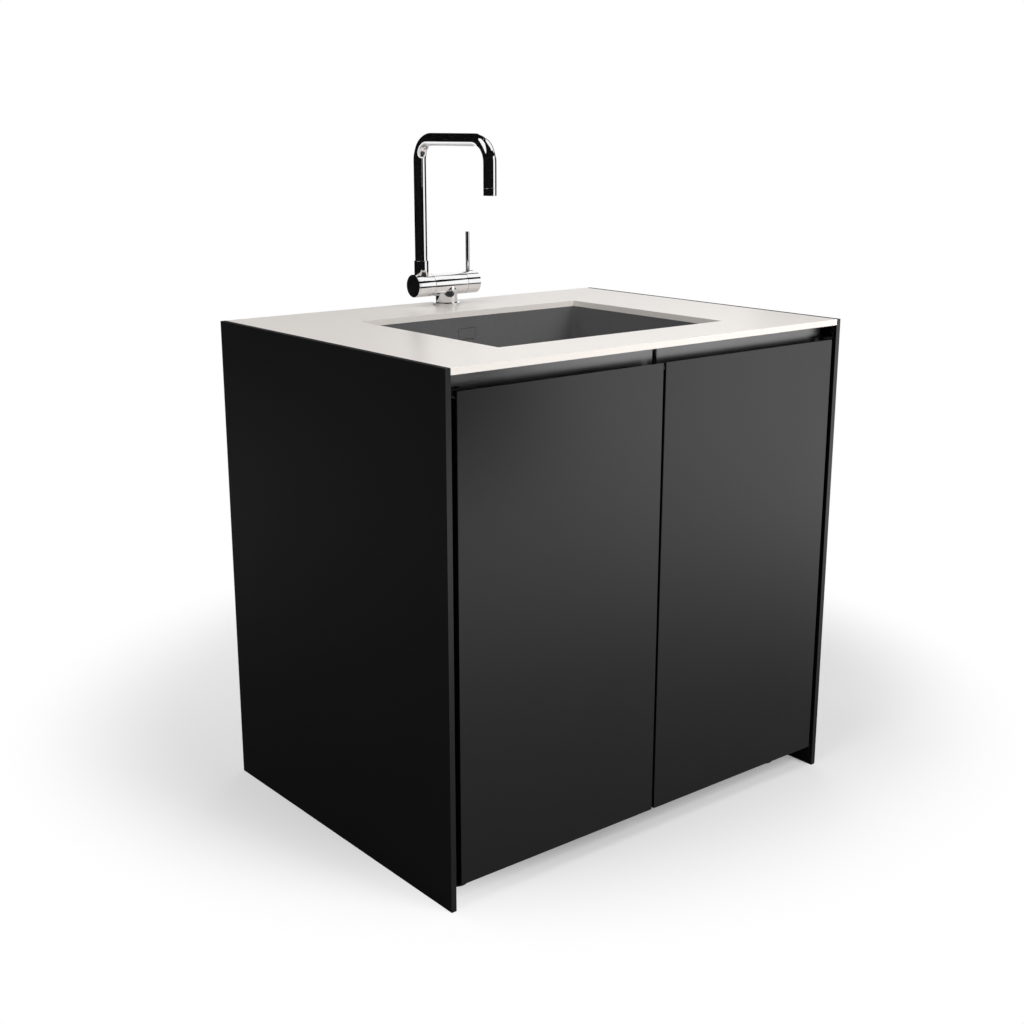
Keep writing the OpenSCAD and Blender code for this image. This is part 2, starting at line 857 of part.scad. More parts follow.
module basin_clips() {
    color([0.6, 0.6, 0.62])
        for (p = clip_places) difference() {
            clip_place(p) {
                block([clip_x - ease, -clip_w / 2, z_under - flange_t - clip_t],
                    [clip_x + clip_post + clip_reach, clip_w / 2, z_under - flange_t]);
                block([clip_x - ease, -clip_w / 2, z_under - flange_t - clip_t],
                    [clip_x + clip_post - ease, clip_w / 2, z_under]);
            }
            clip_screw_place(p) screw_hole(screw_d, flange_t + clip_t + 1);
        }
}

// Rectangular cover with a water slot under its lower edge
module overflow_cover() {
    color([0.37, 0.37, 0.38])
        difference() {
            block([cover_x - cover_w / 2, cut_y1, cover_z - cover_h / 2],
                [cover_x + cover_w / 2, cut_y1 + cover_t, cover_z + cover_h / 2]);
            block([cover_x - cover_w / 2 + 6, cut_y1 - 1, cover_z - cover_h / 2 - 1],
                [cover_x + cover_w / 2 - 6, cut_y1 + cover_t + 1, cover_z - cover_h / 2 + 3]);
        }
}

module overflow_path(r) {
    translate([cover_x, 0, 0]) {
        translate([0, wall_y, cover_z]) rotate(to_back)
            cylinder(r = r, h = overflow_y - overflow_bend - wall_y);
        translate([0, overflow_y - overflow_bend, cover_z - overflow_bend])
            rotate([90, 0, 90]) bend(r, overflow_bend, 90);
        translate([0, overflow_y, port_z + overflow_bend])
            cylinder(r = r, h = cover_z - port_z - 2 * overflow_bend);
        translate([0, overflow_y - overflow_bend, port_z + overflow_bend])
            rotate([90, 0, 90]) rotate(-90) bend(r, overflow_bend, 90);
        translate([0, port_y, port_z]) rotate(to_back)
            cylinder(r = r, h = overflow_y - overflow_bend - port_y);
    }
}

module overflow_pipe() {
    color([0.15, 0.15, 0.15]) difference() {
        union() {
            overflow_path(overflow_r);
            translate([cover_x, wall_y, cover_z]) rotate(to_back)
                cylinder(r = overflow_r + 4, h = overflow_plate_t);
        }
        overflow_path(overflow_r - pipe_wall);
    }
}

// Waste

module waste_flange() {
    color([0.8, 0.8, 0.81])
        translate([0, drain_y, basin_z]) difference() {
            union() {
                cylinder(d = drain_d + 2 * lip_w, h = lip_t);
                translate([0, 0, -neck_h]) cylinder(d = drain_d - 2 * fit, h = neck_h);
            }
            translate([0, 0, -neck_h - 1]) cylinder(d = drain_d - 2 * neck_t,
                h = neck_h + lip_t + 2);
        }
}

module waste_cup() {
    color([0.15, 0.15, 0.15])
        difference() {
            union() {
                translate([0, drain_y, cup_z]) cylinder(r = cup_r, h = basin_z - basin_wall - cup_z);
                translate([0, drain_y, basin_z - basin_wall - cup_rim_h])
                    cylinder(r = cup_rim_r, h = cup_rim_h);
                translate([0, drain_y, stub_z]) cylinder(r = stub_r, h = cup_z - stub_z);
                translate([cover_x, drain_y, port_z]) rotate(to_back)
                    cylinder(r = port_r, h = port_y - drain_y);
            }
            translate([0, drain_y, basin_z - neck_h - ease])
                cylinder(d = drain_d + 2 * fit, h = neck_h + 1);
            translate([0, drain_y, cup_z + cup_wall])
                cylinder(r = cup_bore_r, h = basin_z - cup_z);
            translate([0, drain_y, stub_z - 1])
                cylinder(r = stub_r - pipe_wall, h = cup_z - stub_z + cup_wall + 2);
            translate([cover_x, drain_y, port_z]) rotate(to_back)
                cylinder(r = overflow_r - pipe_wall, h = port_y - drain_y + 1);
        }
}

// Basket that stands in the waste flange and lifts out
module strainer_basket() {
    rim_r = drain_d / 2 - neck_t - ease;
    bowl_r = cup_bore_r - 1;
    bowl_z = cup_z + cup_wall + ease;
    rim_z = basin_z - neck_h;
    color([0.8, 0.8, 0.81]) translate([0, drain_y, 0]) {
        difference() {
            union() {
                translate([0, 0, bowl_z])
                    cylinder(r = bowl_r, h = rim_z - bowl_z + basket_rim_h);
                translate([0, 0, rim_z]) cylinder(r = rim_r, h = basket_rim_h);
            }
            translate([0, 0, bowl_z + basket_wall])
                cylinder(r = bowl_r - basket_wall, h = rim_z - bowl_z + basket_rim_h);
            for (ring = [1:3], k = [1:ring * 6]) rotate(k * 60 / ring)
                translate([ring * 10, 0, bowl_z - 1]) cylinder(r = basket_hole_r, h = 4);
        }
        translate([0, 0, bowl_z + 1]) cylinder(r = stalk_r, h = basin_z - bowl_z);
        translate([0, 0, basin_z]) cylinder(r = knob_r - 2, h = knob_rise - knob_h);
        translate([0, 0, basin_z + knob_rise - knob_h]) cylinder(r = knob_r, h = knob_h);
    }
}

// Ribbed coupling nut around the Z axis
module coupling_nut(r, bore_r, h) {
    difference() {
        union() {
            cylinder(r = r, h = h);
            for (k = [0:7]) rotate(k * 45) translate([r - 0.5, 0, 1])
                cylinder(r = 2, h = h - 2);
        }
        translate([0, 0, -1]) cylinder(r = bore_r, h = h + 2);
    }
}

module waste_nuts() {
    color([0.2, 0.2, 0.2]) {
        translate([0, drain_y, inlet_top - inlet_lap])
            coupling_nut(inlet_r_out + 5, inlet_r_out + fit, 20);
        translate([0, arm_y - 14, trap_z]) rotate(to_back)
            coupling_nut(arm_r + 5, arm_r + fit, 16);
        translate([cover_x, port_y - 10, port_z]) rotate(to_back)
            coupling_nut(port_r + 3, port_r + fit, 12);
    }
}

module trap_body() {
    color([0.75, 0.75, 0.75])
        difference() {
            union() {
                translate([0, drain_y, body_low_z])
                    cylinder(r = bottle_r, h = bottle_top - body_low_z);
                translate([0, drain_y, bottle_top - 1])
                    cylinder(r = inlet_r_out, h = inlet_top - bottle_top + 1);
                translate([0, drain_y, trap_z]) rotate(to_back)
                    cylinder(r = arm_r, h = arm_y - drain_y);
            }
            difference() {
                translate([0, drain_y, body_low_z - 1])
                    cylinder(r = bottle_r - bottle_wall, h = bottle_top - body_low_z - 2);
                translate([0, drain_y, bottle_z]) cylinder(r = dip_r, h = inlet_top - bottle_z);
            }
            translate([0, drain_y, dip_z])
                cylinder(r = dip_r - dip_wall, h = inlet_top - bottle_z);
            translate([0, drain_y, stub_z - 1])
                cylinder(r = stub_r + fit, h = inlet_top - stub_z + 2);
            translate([0, drain_y + stub_r, trap_z]) rotate(to_back)
                cylinder(r = pipe_r - 4, h = arm_y);
            translate([0, arm_y - socket_l - 1, trap_z]) rotate(to_back)
                cylinder(r = trap_pipe_r + fit, h = socket_l + 2);
        }
    color([0.75, 0.75, 0.75]) translate([0, drain_y, dip_z]) difference() {
        cylinder(r = dip_r, h = bottle_top - dip_z - 1);
        translate([0, 0, -1]) cylinder(r = dip_r - dip_wall, h = bottle_top - dip_z + 2);
    }
}

module trap_cup() {
    color([0.75, 0.75, 0.75])
        translate([0, drain_y, bottle_z]) difference() {
            union() {
                cylinder(r = bottle_r + 2, h = cap_h);
                for (k = [0:11]) rotate(k * 30) translate([bottle_r + 1.5, 0, 4])
                    cylinder(r = 2, h = cap_h - 8);
            }
            translate([0, 0, bottle_wall]) cylinder(r = bottle_r - bottle_wall, h = bottle_deep);
            translate([0, 0, cap_h - cap_lap - ease])
                cylinder(r = bottle_r + fit, h = bottle_deep);
        }
}

// Pipe from the trap to the back, with a free spigot behind the back panel
module waste_pipe() {
    color([0.75, 0.75, 0.75])
        difference() {
            union() {
                translate([0, arm_y - socket_l, trap_z]) rotate(to_back)
                    cylinder(r = trap_pipe_r, h = y_panel + back_t + 1 - arm_y + socket_l);
                translate([0, y_panel + back_t + ease, trap_z]) rotate(to_back)
                    cylinder(r = pipe_r, h = board_t - 1 - ease);
            }
            translate([0, arm_y - socket_l - 1, trap_z]) rotate(to_back)
                cylinder(r = trap_pipe_r - pipe_wall, h = unit_d);
        }
}

// Tap

module tap_flange() {
    color([0.85, 0.85, 0.87])
        translate([tap_x, tap_y, unit_h]) difference() {
            cylinder(d = foot_flange_d, h = foot_flange_h);
            translate([0, 0, -1]) cylinder(r = shank_r + fit, h = foot_flange_h + 2);
        }
}

// Cylinder along the tap's horizontal axis from x0 to x1
module along_axis(r, x0, x1) {
    translate([x0, tap_y, axis_z]) rotate(to_right) cylinder(r = r, h = x1 - x0);
}

module tap_body() {
    color([0.85, 0.85, 0.87])
        difference() {
            union() {
                translate([tap_x, tap_y, unit_h + foot_flange_h])
                    cylinder(r = post_r, h = axis_h - foot_flange_h);
                along_axis(body_r, carrier_x1, knob_x0);
            }
            along_axis(shaft_r + fit, carrier_x1 - 1, carrier_x1 + shaft_l + 1);
            along_axis(knob_bore_r + fit, knob_x0 - cartridge_l, knob_x0 + 1);
        }
}

module cartridge() {
    color([0.9, 0.9, 0.88]) {
        along_axis(knob_bore_r, knob_x0 - cartridge_l + ease, knob_x0 + cartridge_nose);
        along_axis(stub_pin_r, knob_x0 + cartridge_nose, lever_x - hub_r - ease);
    }
}

module spout_carrier() {
    color([0.85, 0.85, 0.87])
        difference() {
            union() {
                along_axis(body_r, carrier_x0 + cap_t, carrier_x1 - ease);
                along_axis(shaft_r, carrier_x1 - 1, carrier_x1 + shaft_l);
            }
            translate([spout_x, tap_y, neck_z]) cylinder(r = neck_r + fit, h = body_r);
            translate([spout_x, tap_y, axis_z]) cylinder(r = spigot_r - spout_wall, h = body_r);
            along_axis(stub_pin_r, carrier_x0, carrier_x1 + shaft_l + 1);
        }
}

module carrier_cap() {
    color([0.85, 0.85, 0.87]) {
        along_axis(body_r, carrier_x0, carrier_x0 + cap_t);
        along_axis(stub_pin_r - fit, carrier_x0, carrier_x0 + cap_t + 5);
    }
}

// Collar with a saddle foot on the carrier and a neck screwed into it
module spout_collar() {
    color([0.85, 0.85, 0.87])
        difference() {
            union() {
                difference() {
                    translate([spout_x, tap_y, axis_z + 10])
                        cylinder(d = collar_d, h = collar_h - 10);
                    along_axis(body_r + fit, carrier_x0 - 1, carrier_x1 + 1);
                }
                translate([spout_x, tap_y, neck_z + ease])
                    cylinder(r = neck_r, h = collar_h - 15);
            }
            translate([spout_x, tap_y, neck_z - 1]) cylinder(r = spigot_r + fit, h = collar_h);
        }
}

// Spout tube of radius r, from z0 at its foot to its outlet's upper end
module spout_path(r, z0, z1) {
    translate([spout_x, tap_y, z0]) cylinder(r = r, h = top_z - bend_r - z0);
    translate([spout_x, tap_y - bend_r, top_z - bend_r])
        rotate([90, 0, 90]) bend(r, bend_r, 90);
    translate([spout_x, tap_y - bend_r, top_z]) rotate(to_front)
        cylinder(r = r, h = spout_reach - 2 * bend_r);
    translate([spout_x, outlet_y + bend_r, top_z - bend_r])
        rotate([90, 0, 90]) rotate(90) bend(r, bend_r, 90);
    translate([spout_x, outlet_y, z1]) cylinder(r = r, h = top_z - bend_r - z1);
}

module spout() {
    color([0.85, 0.85, 0.87])
        difference() {
            union() {
                spout_path(spout_r, collar_z + ease, outlet_z + outlet_h);
                translate([spout_x, tap_y, neck_z + 1])
                    cylinder(r = spigot_r, h = collar_z - neck_z + 1);
            }
            spout_path(spout_r - spout_wall, collar_z + 4, outlet_z + outlet_h - 1);
            translate([spout_x, tap_y, neck_z])
                cylinder(r = spigot_r - spout_wall, h = collar_z - neck_z + 5);
        }
}

// Outlet piece with its water guide
module spout_outlet() {
    color([0.85, 0.85, 0.87])
        translate([spout_x, outlet_y, outlet_z]) {
            difference() {
                cylinder(r = spout_r, h = outlet_h - ease / 2);
                translate([0, 0, -1]) cylinder(r = spout_r - 2.5, h = outlet_h + 2);
            }
            difference() {
                translate([0, 0, 3]) cylinder(r = spout_r - 2, h = 4);
                for (k = [0:5]) rotate(k * 60) translate([5.5, 0, -1]) cylinder(r = 1.5, h = 9);
            }
            translate([0, 0, outlet_h - 4]) difference() {
                cylinder(r = spout_r - spout_wall - fit, h = 12);
                translate([0, 0, -1]) cylinder(r = spout_r - spout_wall - 1.5, h = 14);
            }
        }
}

module mixer_knob() {
    slot_half = lever_r + 0.5;
    slot_run = body_r * tan(lever_tilt) + 0.6;
    color([0.85, 0.85, 0.87])
        difference() {
            along_axis(body_r, knob_x0 + ease, knob_x1);
            along_axis(knob_bore_r + fit, knob_x0 - 1, lever_x + hub_r + knob_room);
            translate([lever_x, tap_y, axis_z]) {
                cylinder(r = slot_half, h = body_r + 1);
                translate([slot_run, 0, 0]) cylinder(r = slot_half, h = body_r + 1);
                translate([0, -slot_half, 0]) cube([slot_run, 2 * slot_half, body_r + 1]);
            }
            translate([lever_x, tap_y + body_r - 2, axis_z]) rotate(to_front)
                cylinder(d = axle_d + 2 * fit, h = body_d - 4);
        }
}

// Pin lever on a cross axle inside the knob
module lever() {
    color([0.85, 0.85, 0.87])
        translate([lever_x, tap_y, axis_z]) {
            cylinder(r = lever_r, h = lever_h - 1);
            translate([0, 0, lever_h - 1]) cylinder(r1 = lever_r, r2 = lever_r - 1, h = 1);
            translate([0, hub_r, 0]) rotate(to_front) cylinder(r = hub_r, h = 2 * hub_r);
            translate([0, body_r - 2 - ease, 0]) rotate(to_front)
                cylinder(d = axle_d, h = body_d - 4 - 2 * ease);
        }
}

module tap_shank() {
    color([0.78, 0.66, 0.4])
        translate([tap_x, tap_y, shank_z]) difference() {
            cylinder(r = shank_r, h = unit_h + foot_flange_h - shank_z);
            translate([0, 0, -1]) cylinder(r = shank_bore_r, h = unit_h);
        }
}

module shank_washer() {
    color([0.12, 0.12, 0.12])
        translate([tap_x, tap_y, z_under - washer_t]) difference() {
            cylinder(r = shank_r + washer_rim, h = washer_t);
            translate([0, 0, -1]) cylinder(r = shank_r + fit, h = washer_t + 2);
        }
}

module shank_nut() {
    color([0.78, 0.66, 0.4])
        translate([tap_x, tap_y, z_under - washer_t - nut_h]) difference() {
            cylinder(r = shank_r + nut_rim, h = nut_h, $fn = 6);
            translate([0, 0, -1]) cylinder(r = shank_r + fit, h = nut_h + 2);
        }
}

// Supply

// Point at angle a of the hose's ring at share t of its S-shaped route
function hose_point(t, a) =
    let (
        lean = atan2(hose_run * PI / 2 * sin(180 * t), hose_z1 - hose_z0),
        x = hose_run * (1 - cos(180 * t)) / 2,
        z = hose_z1 + (hose_z0 - hose_z1) * t
    )
    [x + hose_r * cos(a) * cos(lean), hose_r * sin(a), z + hose_r * cos(a) * sin(lean)];

// Hose core: one tube from the upper ferrule to the lower one
module hose_core() {
    sides = 10;
    rings = 26;
    points = [for (i = [0:rings], k = [0:sides - 1]) hose_point(i / rings, 360 * k / sides)];
    walls = [for (i = [0:rings - 1], k = [0:sides - 1], half = [0, 1])
        let (
            here = i * sides + k,
            beside = i * sides + (k + 1) % sides
        )
        half == 0 ? [here, beside, beside + sides] : [here, beside + sides, here + sides]];
    upper_end = [for (k = [sides - 1:-1:0]) k];
    lower_end = [for (k = [0:sides - 1]) rings * sides + k];
    polyhedron(points, concat(walls, [upper_end, lower_end]));
}

// Hose with its stub in the shank, its two ferrules and the nut on the valve
module hose() {
    translate([tap_x + hose_side, tap_y, 0]) {
        hose_core();
        translate([0, 0, hose_z1]) {
            cylinder(r = hose_r + 1, h = ferrule_h);
            cylinder(r = hose_r - 0.5, h = unit_h + foot_flange_h - ease - hose_z1);
        }
        translate([hose_run, 0, valve_top - 8]) difference() {
            union() {
                cylinder(r = outlet_pipe_r + 4, h = 12, $fn = 6);
                cylinder(r = hose_r + 1.5, h = hose_z0 - valve_top + 8);
            }
            translate([0, 0, -1]) cylinder(r = outlet_pipe_r + fit, h = 9 + ease);
        }
    }
}

module hot_hose() {
    color([0.7, 0.7, 0.72]) translate([2 * tap_x, 0, 0]) mirror([1, 0, 0]) hose();
}

module cold_hose() {
    color([0.7, 0.7, 0.72]) hose();
}

// Stop valve on the back panel, its inlet to the back and its outlet upwards
module stop_valve(x) {
    color([0.83, 0.83, 0.85]) translate([x, 0, valve_z]) {
        difference() {
            union() {
                translate([0, valve_y - valve_l, 0]) rotate(to_back)
                    cylinder(r = valve_r, h = y_panel - valve_y + valve_l);
                translate([0, y_panel - valve_plate_t, 0]) rotate(to_back)
                    cylinder(r = valve_plate_r, h = valve_plate_t);
                translate([0, y_panel - 1, 0]) rotate(to_back)
                    cylinder(r = tail_r, h = back_t + lock_nut_h + 1 + ease);
                translate([0, y_panel + back_t, 0]) rotate(to_back)
                    cylinder(r = inlet_r, h = board_t - 1);
                translate([0, tap_y, 0]) cylinder(r = outlet_pipe_r, h = valve_top - valve_z);
            }
            translate([0, valve_y + 6, 0]) rotate(to_back)
                cylinder(r = inlet_r - 4, h = valve_bore_l);
            translate([0, tap_y, 0]) cylinder(r = outlet_pipe_r - 3, h = valve_bore_l);
            translate([0, valve_y - valve_l - 1, 0]) rotate(to_back)
                cylinder(d = axle_d + 2 * fit, h = valve_l + 1);
        }
        translate([0, y_panel + back_t, 0]) rotate(to_back) difference() {
            cylinder(r = tail_r + 6, h = lock_nut_h, $fn = 6);
            translate([0, 0, -1]) cylinder(r = tail_r + fit, h = lock_nut_h + 2);
        }
    }
}

module hot_valve() {
    stop_valve(tap_x - valve_x);
}

module cold_valve() {
    stop_valve(tap_x + valve_x);
}

// Lever handle of a stop valve, pointing down when open
module valve_handle(x) {
    translate([x, valve_y - valve_l - ease, valve_z]) {
        translate([0, valve_l - 1 + ease, 0]) rotate(to_front)
            cylinder(d = axle_d, h = valve_l + 2);
        rotate(to_front) cylinder(r = handle_w, h = hub_h);
        block([-handle_w / 2, -hub_h, -handle_l], [handle_w / 2, handle_t - hub_h, 0]);
        translate([0, handle_t - hub_h, -handle_l]) rotate(to_front)
            cylinder(d = handle_w, h = handle_t);
    }
}

module hot_handle() {
    color([0.75, 0.1, 0.1]) valve_handle(tap_x - valve_x);
}

module cold_handle() {
    color([0.1, 0.25, 0.7]) valve_handle(tap_x + valve_x);
}

side_panel_left();
side_panel_right();
worktop();
carcass_side_left();
carcass_side_right();
carcass_bottom();
back_panel();
front_rail();
back_rail();
carcass_screws();
panel_screws();
fitting_screws();
foot_sockets();
pivot_brackets();
pivot_pins();
door_magnets();
basin();
basin_clips();
overflow_cover();
overflow_pipe();
waste_flange();
waste_cup();
waste_nuts();
strainer_basket();
trap_body();
trap_cup();
waste_pipe();
left_door_tray();
left_door_core();
left_door_back();
left_grip_profile();
left_door_fittings();
right_door_tray();
right_door_core();
right_door_back();
right_grip_profile();
right_door_fittings();
foot_front_left();
foot_front_right();
foot_back_left();
foot_back_right();
tap_flange();
tap_body();
spout_carrier();
carrier_cap();
spout_collar();
spout();
spout_outlet();
mixer_knob();
lever();
cartridge();
tap_shank();
shank_washer();
shank_nut();
hot_hose();
cold_hose();
hot_valve();
cold_valve();
hot_handle();
cold_handle();
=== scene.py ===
import contextlib
import json
import math

import bmesh
import bpy
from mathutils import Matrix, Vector

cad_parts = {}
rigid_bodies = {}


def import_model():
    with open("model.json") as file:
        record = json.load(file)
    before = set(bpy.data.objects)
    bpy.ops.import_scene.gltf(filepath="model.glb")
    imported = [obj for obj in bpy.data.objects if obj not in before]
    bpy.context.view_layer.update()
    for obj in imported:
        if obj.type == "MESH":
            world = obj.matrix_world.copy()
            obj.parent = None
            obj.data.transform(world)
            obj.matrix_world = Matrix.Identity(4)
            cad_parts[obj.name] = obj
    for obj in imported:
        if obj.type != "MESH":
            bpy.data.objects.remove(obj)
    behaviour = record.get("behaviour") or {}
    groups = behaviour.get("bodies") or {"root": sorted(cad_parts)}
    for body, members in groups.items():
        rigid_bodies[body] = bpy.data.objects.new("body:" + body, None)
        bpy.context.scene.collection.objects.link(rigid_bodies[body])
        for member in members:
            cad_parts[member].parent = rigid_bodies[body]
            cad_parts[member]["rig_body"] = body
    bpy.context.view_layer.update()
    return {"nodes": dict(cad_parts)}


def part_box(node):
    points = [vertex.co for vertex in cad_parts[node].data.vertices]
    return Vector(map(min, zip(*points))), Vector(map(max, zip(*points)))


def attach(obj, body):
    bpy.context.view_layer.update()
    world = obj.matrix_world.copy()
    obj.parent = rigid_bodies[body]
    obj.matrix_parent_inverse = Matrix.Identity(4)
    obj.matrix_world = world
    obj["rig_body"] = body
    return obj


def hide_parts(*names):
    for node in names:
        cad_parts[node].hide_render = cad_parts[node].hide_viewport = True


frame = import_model()
nodes = frame["nodes"]
scene = bpy.context.scene
mm = 0.001
up = Vector((0, 0, 1))
print("frame loaded,", len(nodes), "pieces")

cameraValues = {
    "place": (-1.705, -2.051, 1.245),
    "down": 14.98,  # degrees below the horizon
    "turn": 38.93,  # degrees from the back towards the right
    "lens": 50.57,
    "sensor": 36,
}

camera = bpy.data.objects.new("camera", bpy.data.cameras.new("camera"))
scene.collection.objects.link(camera)
camera.location = cameraValues["place"]
camera.rotation_euler = (
    math.radians(90 - cameraValues["down"]), 0, -math.radians(cameraValues["turn"]))
camera.data.lens = cameraValues["lens"]
camera.data.sensor_width = cameraValues["sensor"]
scene.camera = camera
scene.view_settings.view_transform = "Standard"


# a node's inputs, each from a value, another node's output or a list of outputs
def setInputs(tree, node, inputs):
    for key, value in inputs.items():
        for one in value if isinstance(value, list) else [value]:
            if isinstance(one, bpy.types.NodeSocket):
                tree.links.new(one, node.inputs[key])
            else:
                node.inputs[key].default_value = one


# a new node, given back as its outputs
def addNode(tree, kind, inputs=None, **settings):
    node = tree.nodes.new(kind)
    for key, value in settings.items():
        setattr(node, key, value)
    setInputs(tree, node, inputs or {})
    return node.outputs


socketTypes = {float: "NodeSocketFloat", int: "NodeSocketInt", tuple: "NodeSocketVector"}


# a node group from its inputs, each with a start value or a socket type, and its one result
def newGroup(name, kind, inputs, result, resultType):
    tree = bpy.data.node_groups.new(name, kind)
    for label, start in inputs.items():
        typed = isinstance(start, str)
        socketType = start if typed else socketTypes[type(start)]
        socket = tree.interface.new_socket(label, in_out="INPUT", socket_type=socketType)
        if not typed:
            socket.default_value = start
    tree.interface.new_socket(result, in_out="OUTPUT", socket_type=resultType)
    return tree, addNode(tree, "NodeGroupInput")


def newEffect(name, result="Mask", **inputs):
    return newGroup(name, "ShaderNodeTree", inputs, result, "NodeSocketFloat")


def newMeshTree(name, **inputs):
    named = {label.replace("_", " "): start for label, start in inputs.items()}
    sockets = {"Geometry": "NodeSocketGeometry", **named, "Material": "NodeSocketMaterial"}
    return newGroup(name, "GeometryNodeTree", sockets, "Geometry", "NodeSocketGeometry")


def useGroup(tree, group, **inputs):
    return addNode(tree, "ShaderNodeGroup", inputs, node_tree=group)


def newMaterial(name):
    material = bpy.data.materials.new(name)
    material.use_nodes = True
    return material, material.node_tree


def mathNode(tree, operation, a, b=0.0, clamp=False):
    return addNode(tree, "ShaderNodeMath", {0: a, 1: b}, operation=operation, use_clamp=clamp)[0]


def times(tree, a, b, clamp=False):
    return mathNode(tree, "MULTIPLY", a, b, clamp)


def inverse(tree, value):
    return mathNode(tree, "SUBTRACT", 1.0, value)


def vectorNode(tree, operation, a, b):
    return addNode(tree, "ShaderNodeVectorMath", {0: a, 1: b}, operation=operation)


def combined(tree, x=0.0, y=0.0, z=0.0):
    return addNode(tree, "ShaderNodeCombineXYZ", {0: x, 1: y, 2: z})[0]


def mixColour(tree, share, a, b):
    return addNode(tree, "ShaderNodeMix", {0: share, 6: a, 7: b}, data_type="RGBA")[2]


# a value moved from one range to another and held in it
def ramp(tree, value, low, high, start=0.0, end=1.0, kind="LINEAR"):
    return addNode(tree, "ShaderNodeMapRange", {
        "Value": value, "From Min": low, "From Max": high, "To Min": start, "To Max": end},
        interpolation_type=kind)[0]


# how far a mask is off its middle, times an amount
def swing(tree, mask, amount):
    return times(tree, mathNode(tree, "SUBTRACT", mask, 0.5), amount)


def ownPlace(tree):
    return addNode(tree, "ShaderNodeTexCoord")["Object"]


# a texture over the piece's own space, with features of a size in metres
def texture(tree, kind, size, place=None, **inputs):
    place = ownPlace(tree) if place is None else place
    return addNode(tree, kind, {"Vector": place, "Scale": mathNode(tree, "DIVIDE", 1.0, size), **inputs})


def ended(tree, **results):
    addNode(tree, "NodeGroupOutput", results)
    return tree


# soft light and dark clouds over a surface
def makeCloudGroup():
    tree, given = newEffect("clouds", Size=0.1, Contrast=1.0)
    cloud = texture(tree, "ShaderNodeTexNoise", given["Size"], Detail=4.0, Roughness=0.55)["Fac"]
    return ended(tree, Mask=mathNode(tree, "ADD", swing(tree, cloud, given["Contrast"]), 0.5, clamp=True))


# fine grain, drawn out along an axis where the stretch is uneven
def makeGrainGroup():
    tree, given = newEffect("grain", Size=0.001, Stretch=(1, 1, 1))
    drawn = vectorNode(tree, "MULTIPLY", ownPlace(tree), given["Stretch"])[0]
    return ended(tree, Mask=texture(tree, "ShaderNodeTexNoise", given["Size"], drawn, Detail=2.0)["Fac"])


# small flecks in some of the cells of an even pattern
def makeFleckGroup():
    tree, given = newEffect("flecks", Size=0.001, Share=0.2)
    cells = texture(tree, "ShaderNodeTexVoronoi", given["Size"])
    chance = addNode(tree, "ShaderNodeSeparateColor", {0: cells["Color"]})[0]
    chosen = mathNode(tree, "LESS_THAN", chance, given["Share"])
    near = ramp(tree, cells["Distance"], 0.5, 0.15)
    return ended(tree, Mask=times(tree, chosen, near))


# where an edge is painted lighter, partly rubbed wear and partly a painted edge highlight, broken up by a
# noise
def makeWearAndHighlightGroup():
    tree, given = newEffect("edgeWearAndHighlight", Radius=0.001, Break=0.02, Amount=0.5)
    rounded = addNode(tree, "ShaderNodeBevel", {"Radius": given["Radius"]}, samples=4)[0]
    straight = addNode(tree, "ShaderNodeNewGeometry")["Normal"]
    same = vectorNode(tree, "DOT_PRODUCT", rounded, straight)["Value"]
    edge = times(tree, inverse(tree, same), 6.0, clamp=True)
    patch = texture(tree, "ShaderNodeTexNoise", given["Break"], Detail=5.0)["Fac"]
    wornAndHighlit = times(tree, edge, patch)
    return ended(tree, Mask=times(tree, wornAndHighlit, given["Amount"], clamp=True))


# faint dust on what faces up
def makeDustGroup():
    tree, given = newEffect("dust", Amount=0.1, Size=0.03)
    normal = addNode(tree, "ShaderNodeTexCoord")["Normal"]
    facing = addNode(tree, "ShaderNodeSeparateXYZ", {0: normal})["Z"]
    patch = texture(tree, "ShaderNodeTexNoise", given["Size"], Detail=6.0, Roughness=0.7)["Fac"]
    lying = times(tree, mathNode(tree, "MAXIMUM", facing, 0.0), patch)
    return ended(tree, Mask=times(tree, lying, given["Amount"], clamp=True))


# rings of a thread along one axis
def makeThreadGroup():
    tree, given = newEffect("thread", "Height", Pitch=0.0015, Along=(0, 0, 1))
    along = vectorNode(tree, "DOT_PRODUCT", ownPlace(tree), given["Along"])["Value"]
    turns = mathNode(tree, "DIVIDE", along, given["Pitch"])
    return ended(tree, Height=mathNode(tree, "PINGPONG", turns, 0.5))


cloudGroup = makeCloudGroup()
grainGroup = makeGrainGroup()
fleckGroup = makeFleckGroup()
wearAndHighlightGroup = makeWearAndHighlightGroup()
dustGroup = makeDustGroup()
threadGroup = makeThreadGroup()


def rgba(colour):
    return (*colour, 1.0)


# values of a finish that doesn't give its own, lengths in metres
finishValues = {
    "cloudContrast": 2.0, "flecks": (), "stretch": (1, 1, 1), "patches": 0.04, "bumpDepth": 0.0001,
    # the edge lightening is partly real wear and partly a painted edge highlight
    "wearAndHighlight": 0, "wearAndHighlightRadius": 0.0012, "wearAndHighlightBreak": 0.02, "dust": 0, "dustSize": 0.03,
    "dustColour": (0.5, 0.49, 0.47), "dustRoughness": 0.5, "pitch": 0, "along": (0, 0, 1), "threadBump": 0.8,
    "metallic": 0.0, "specular": 0.5, "coat": 0.0, "coatRoughness": 0.1,
}


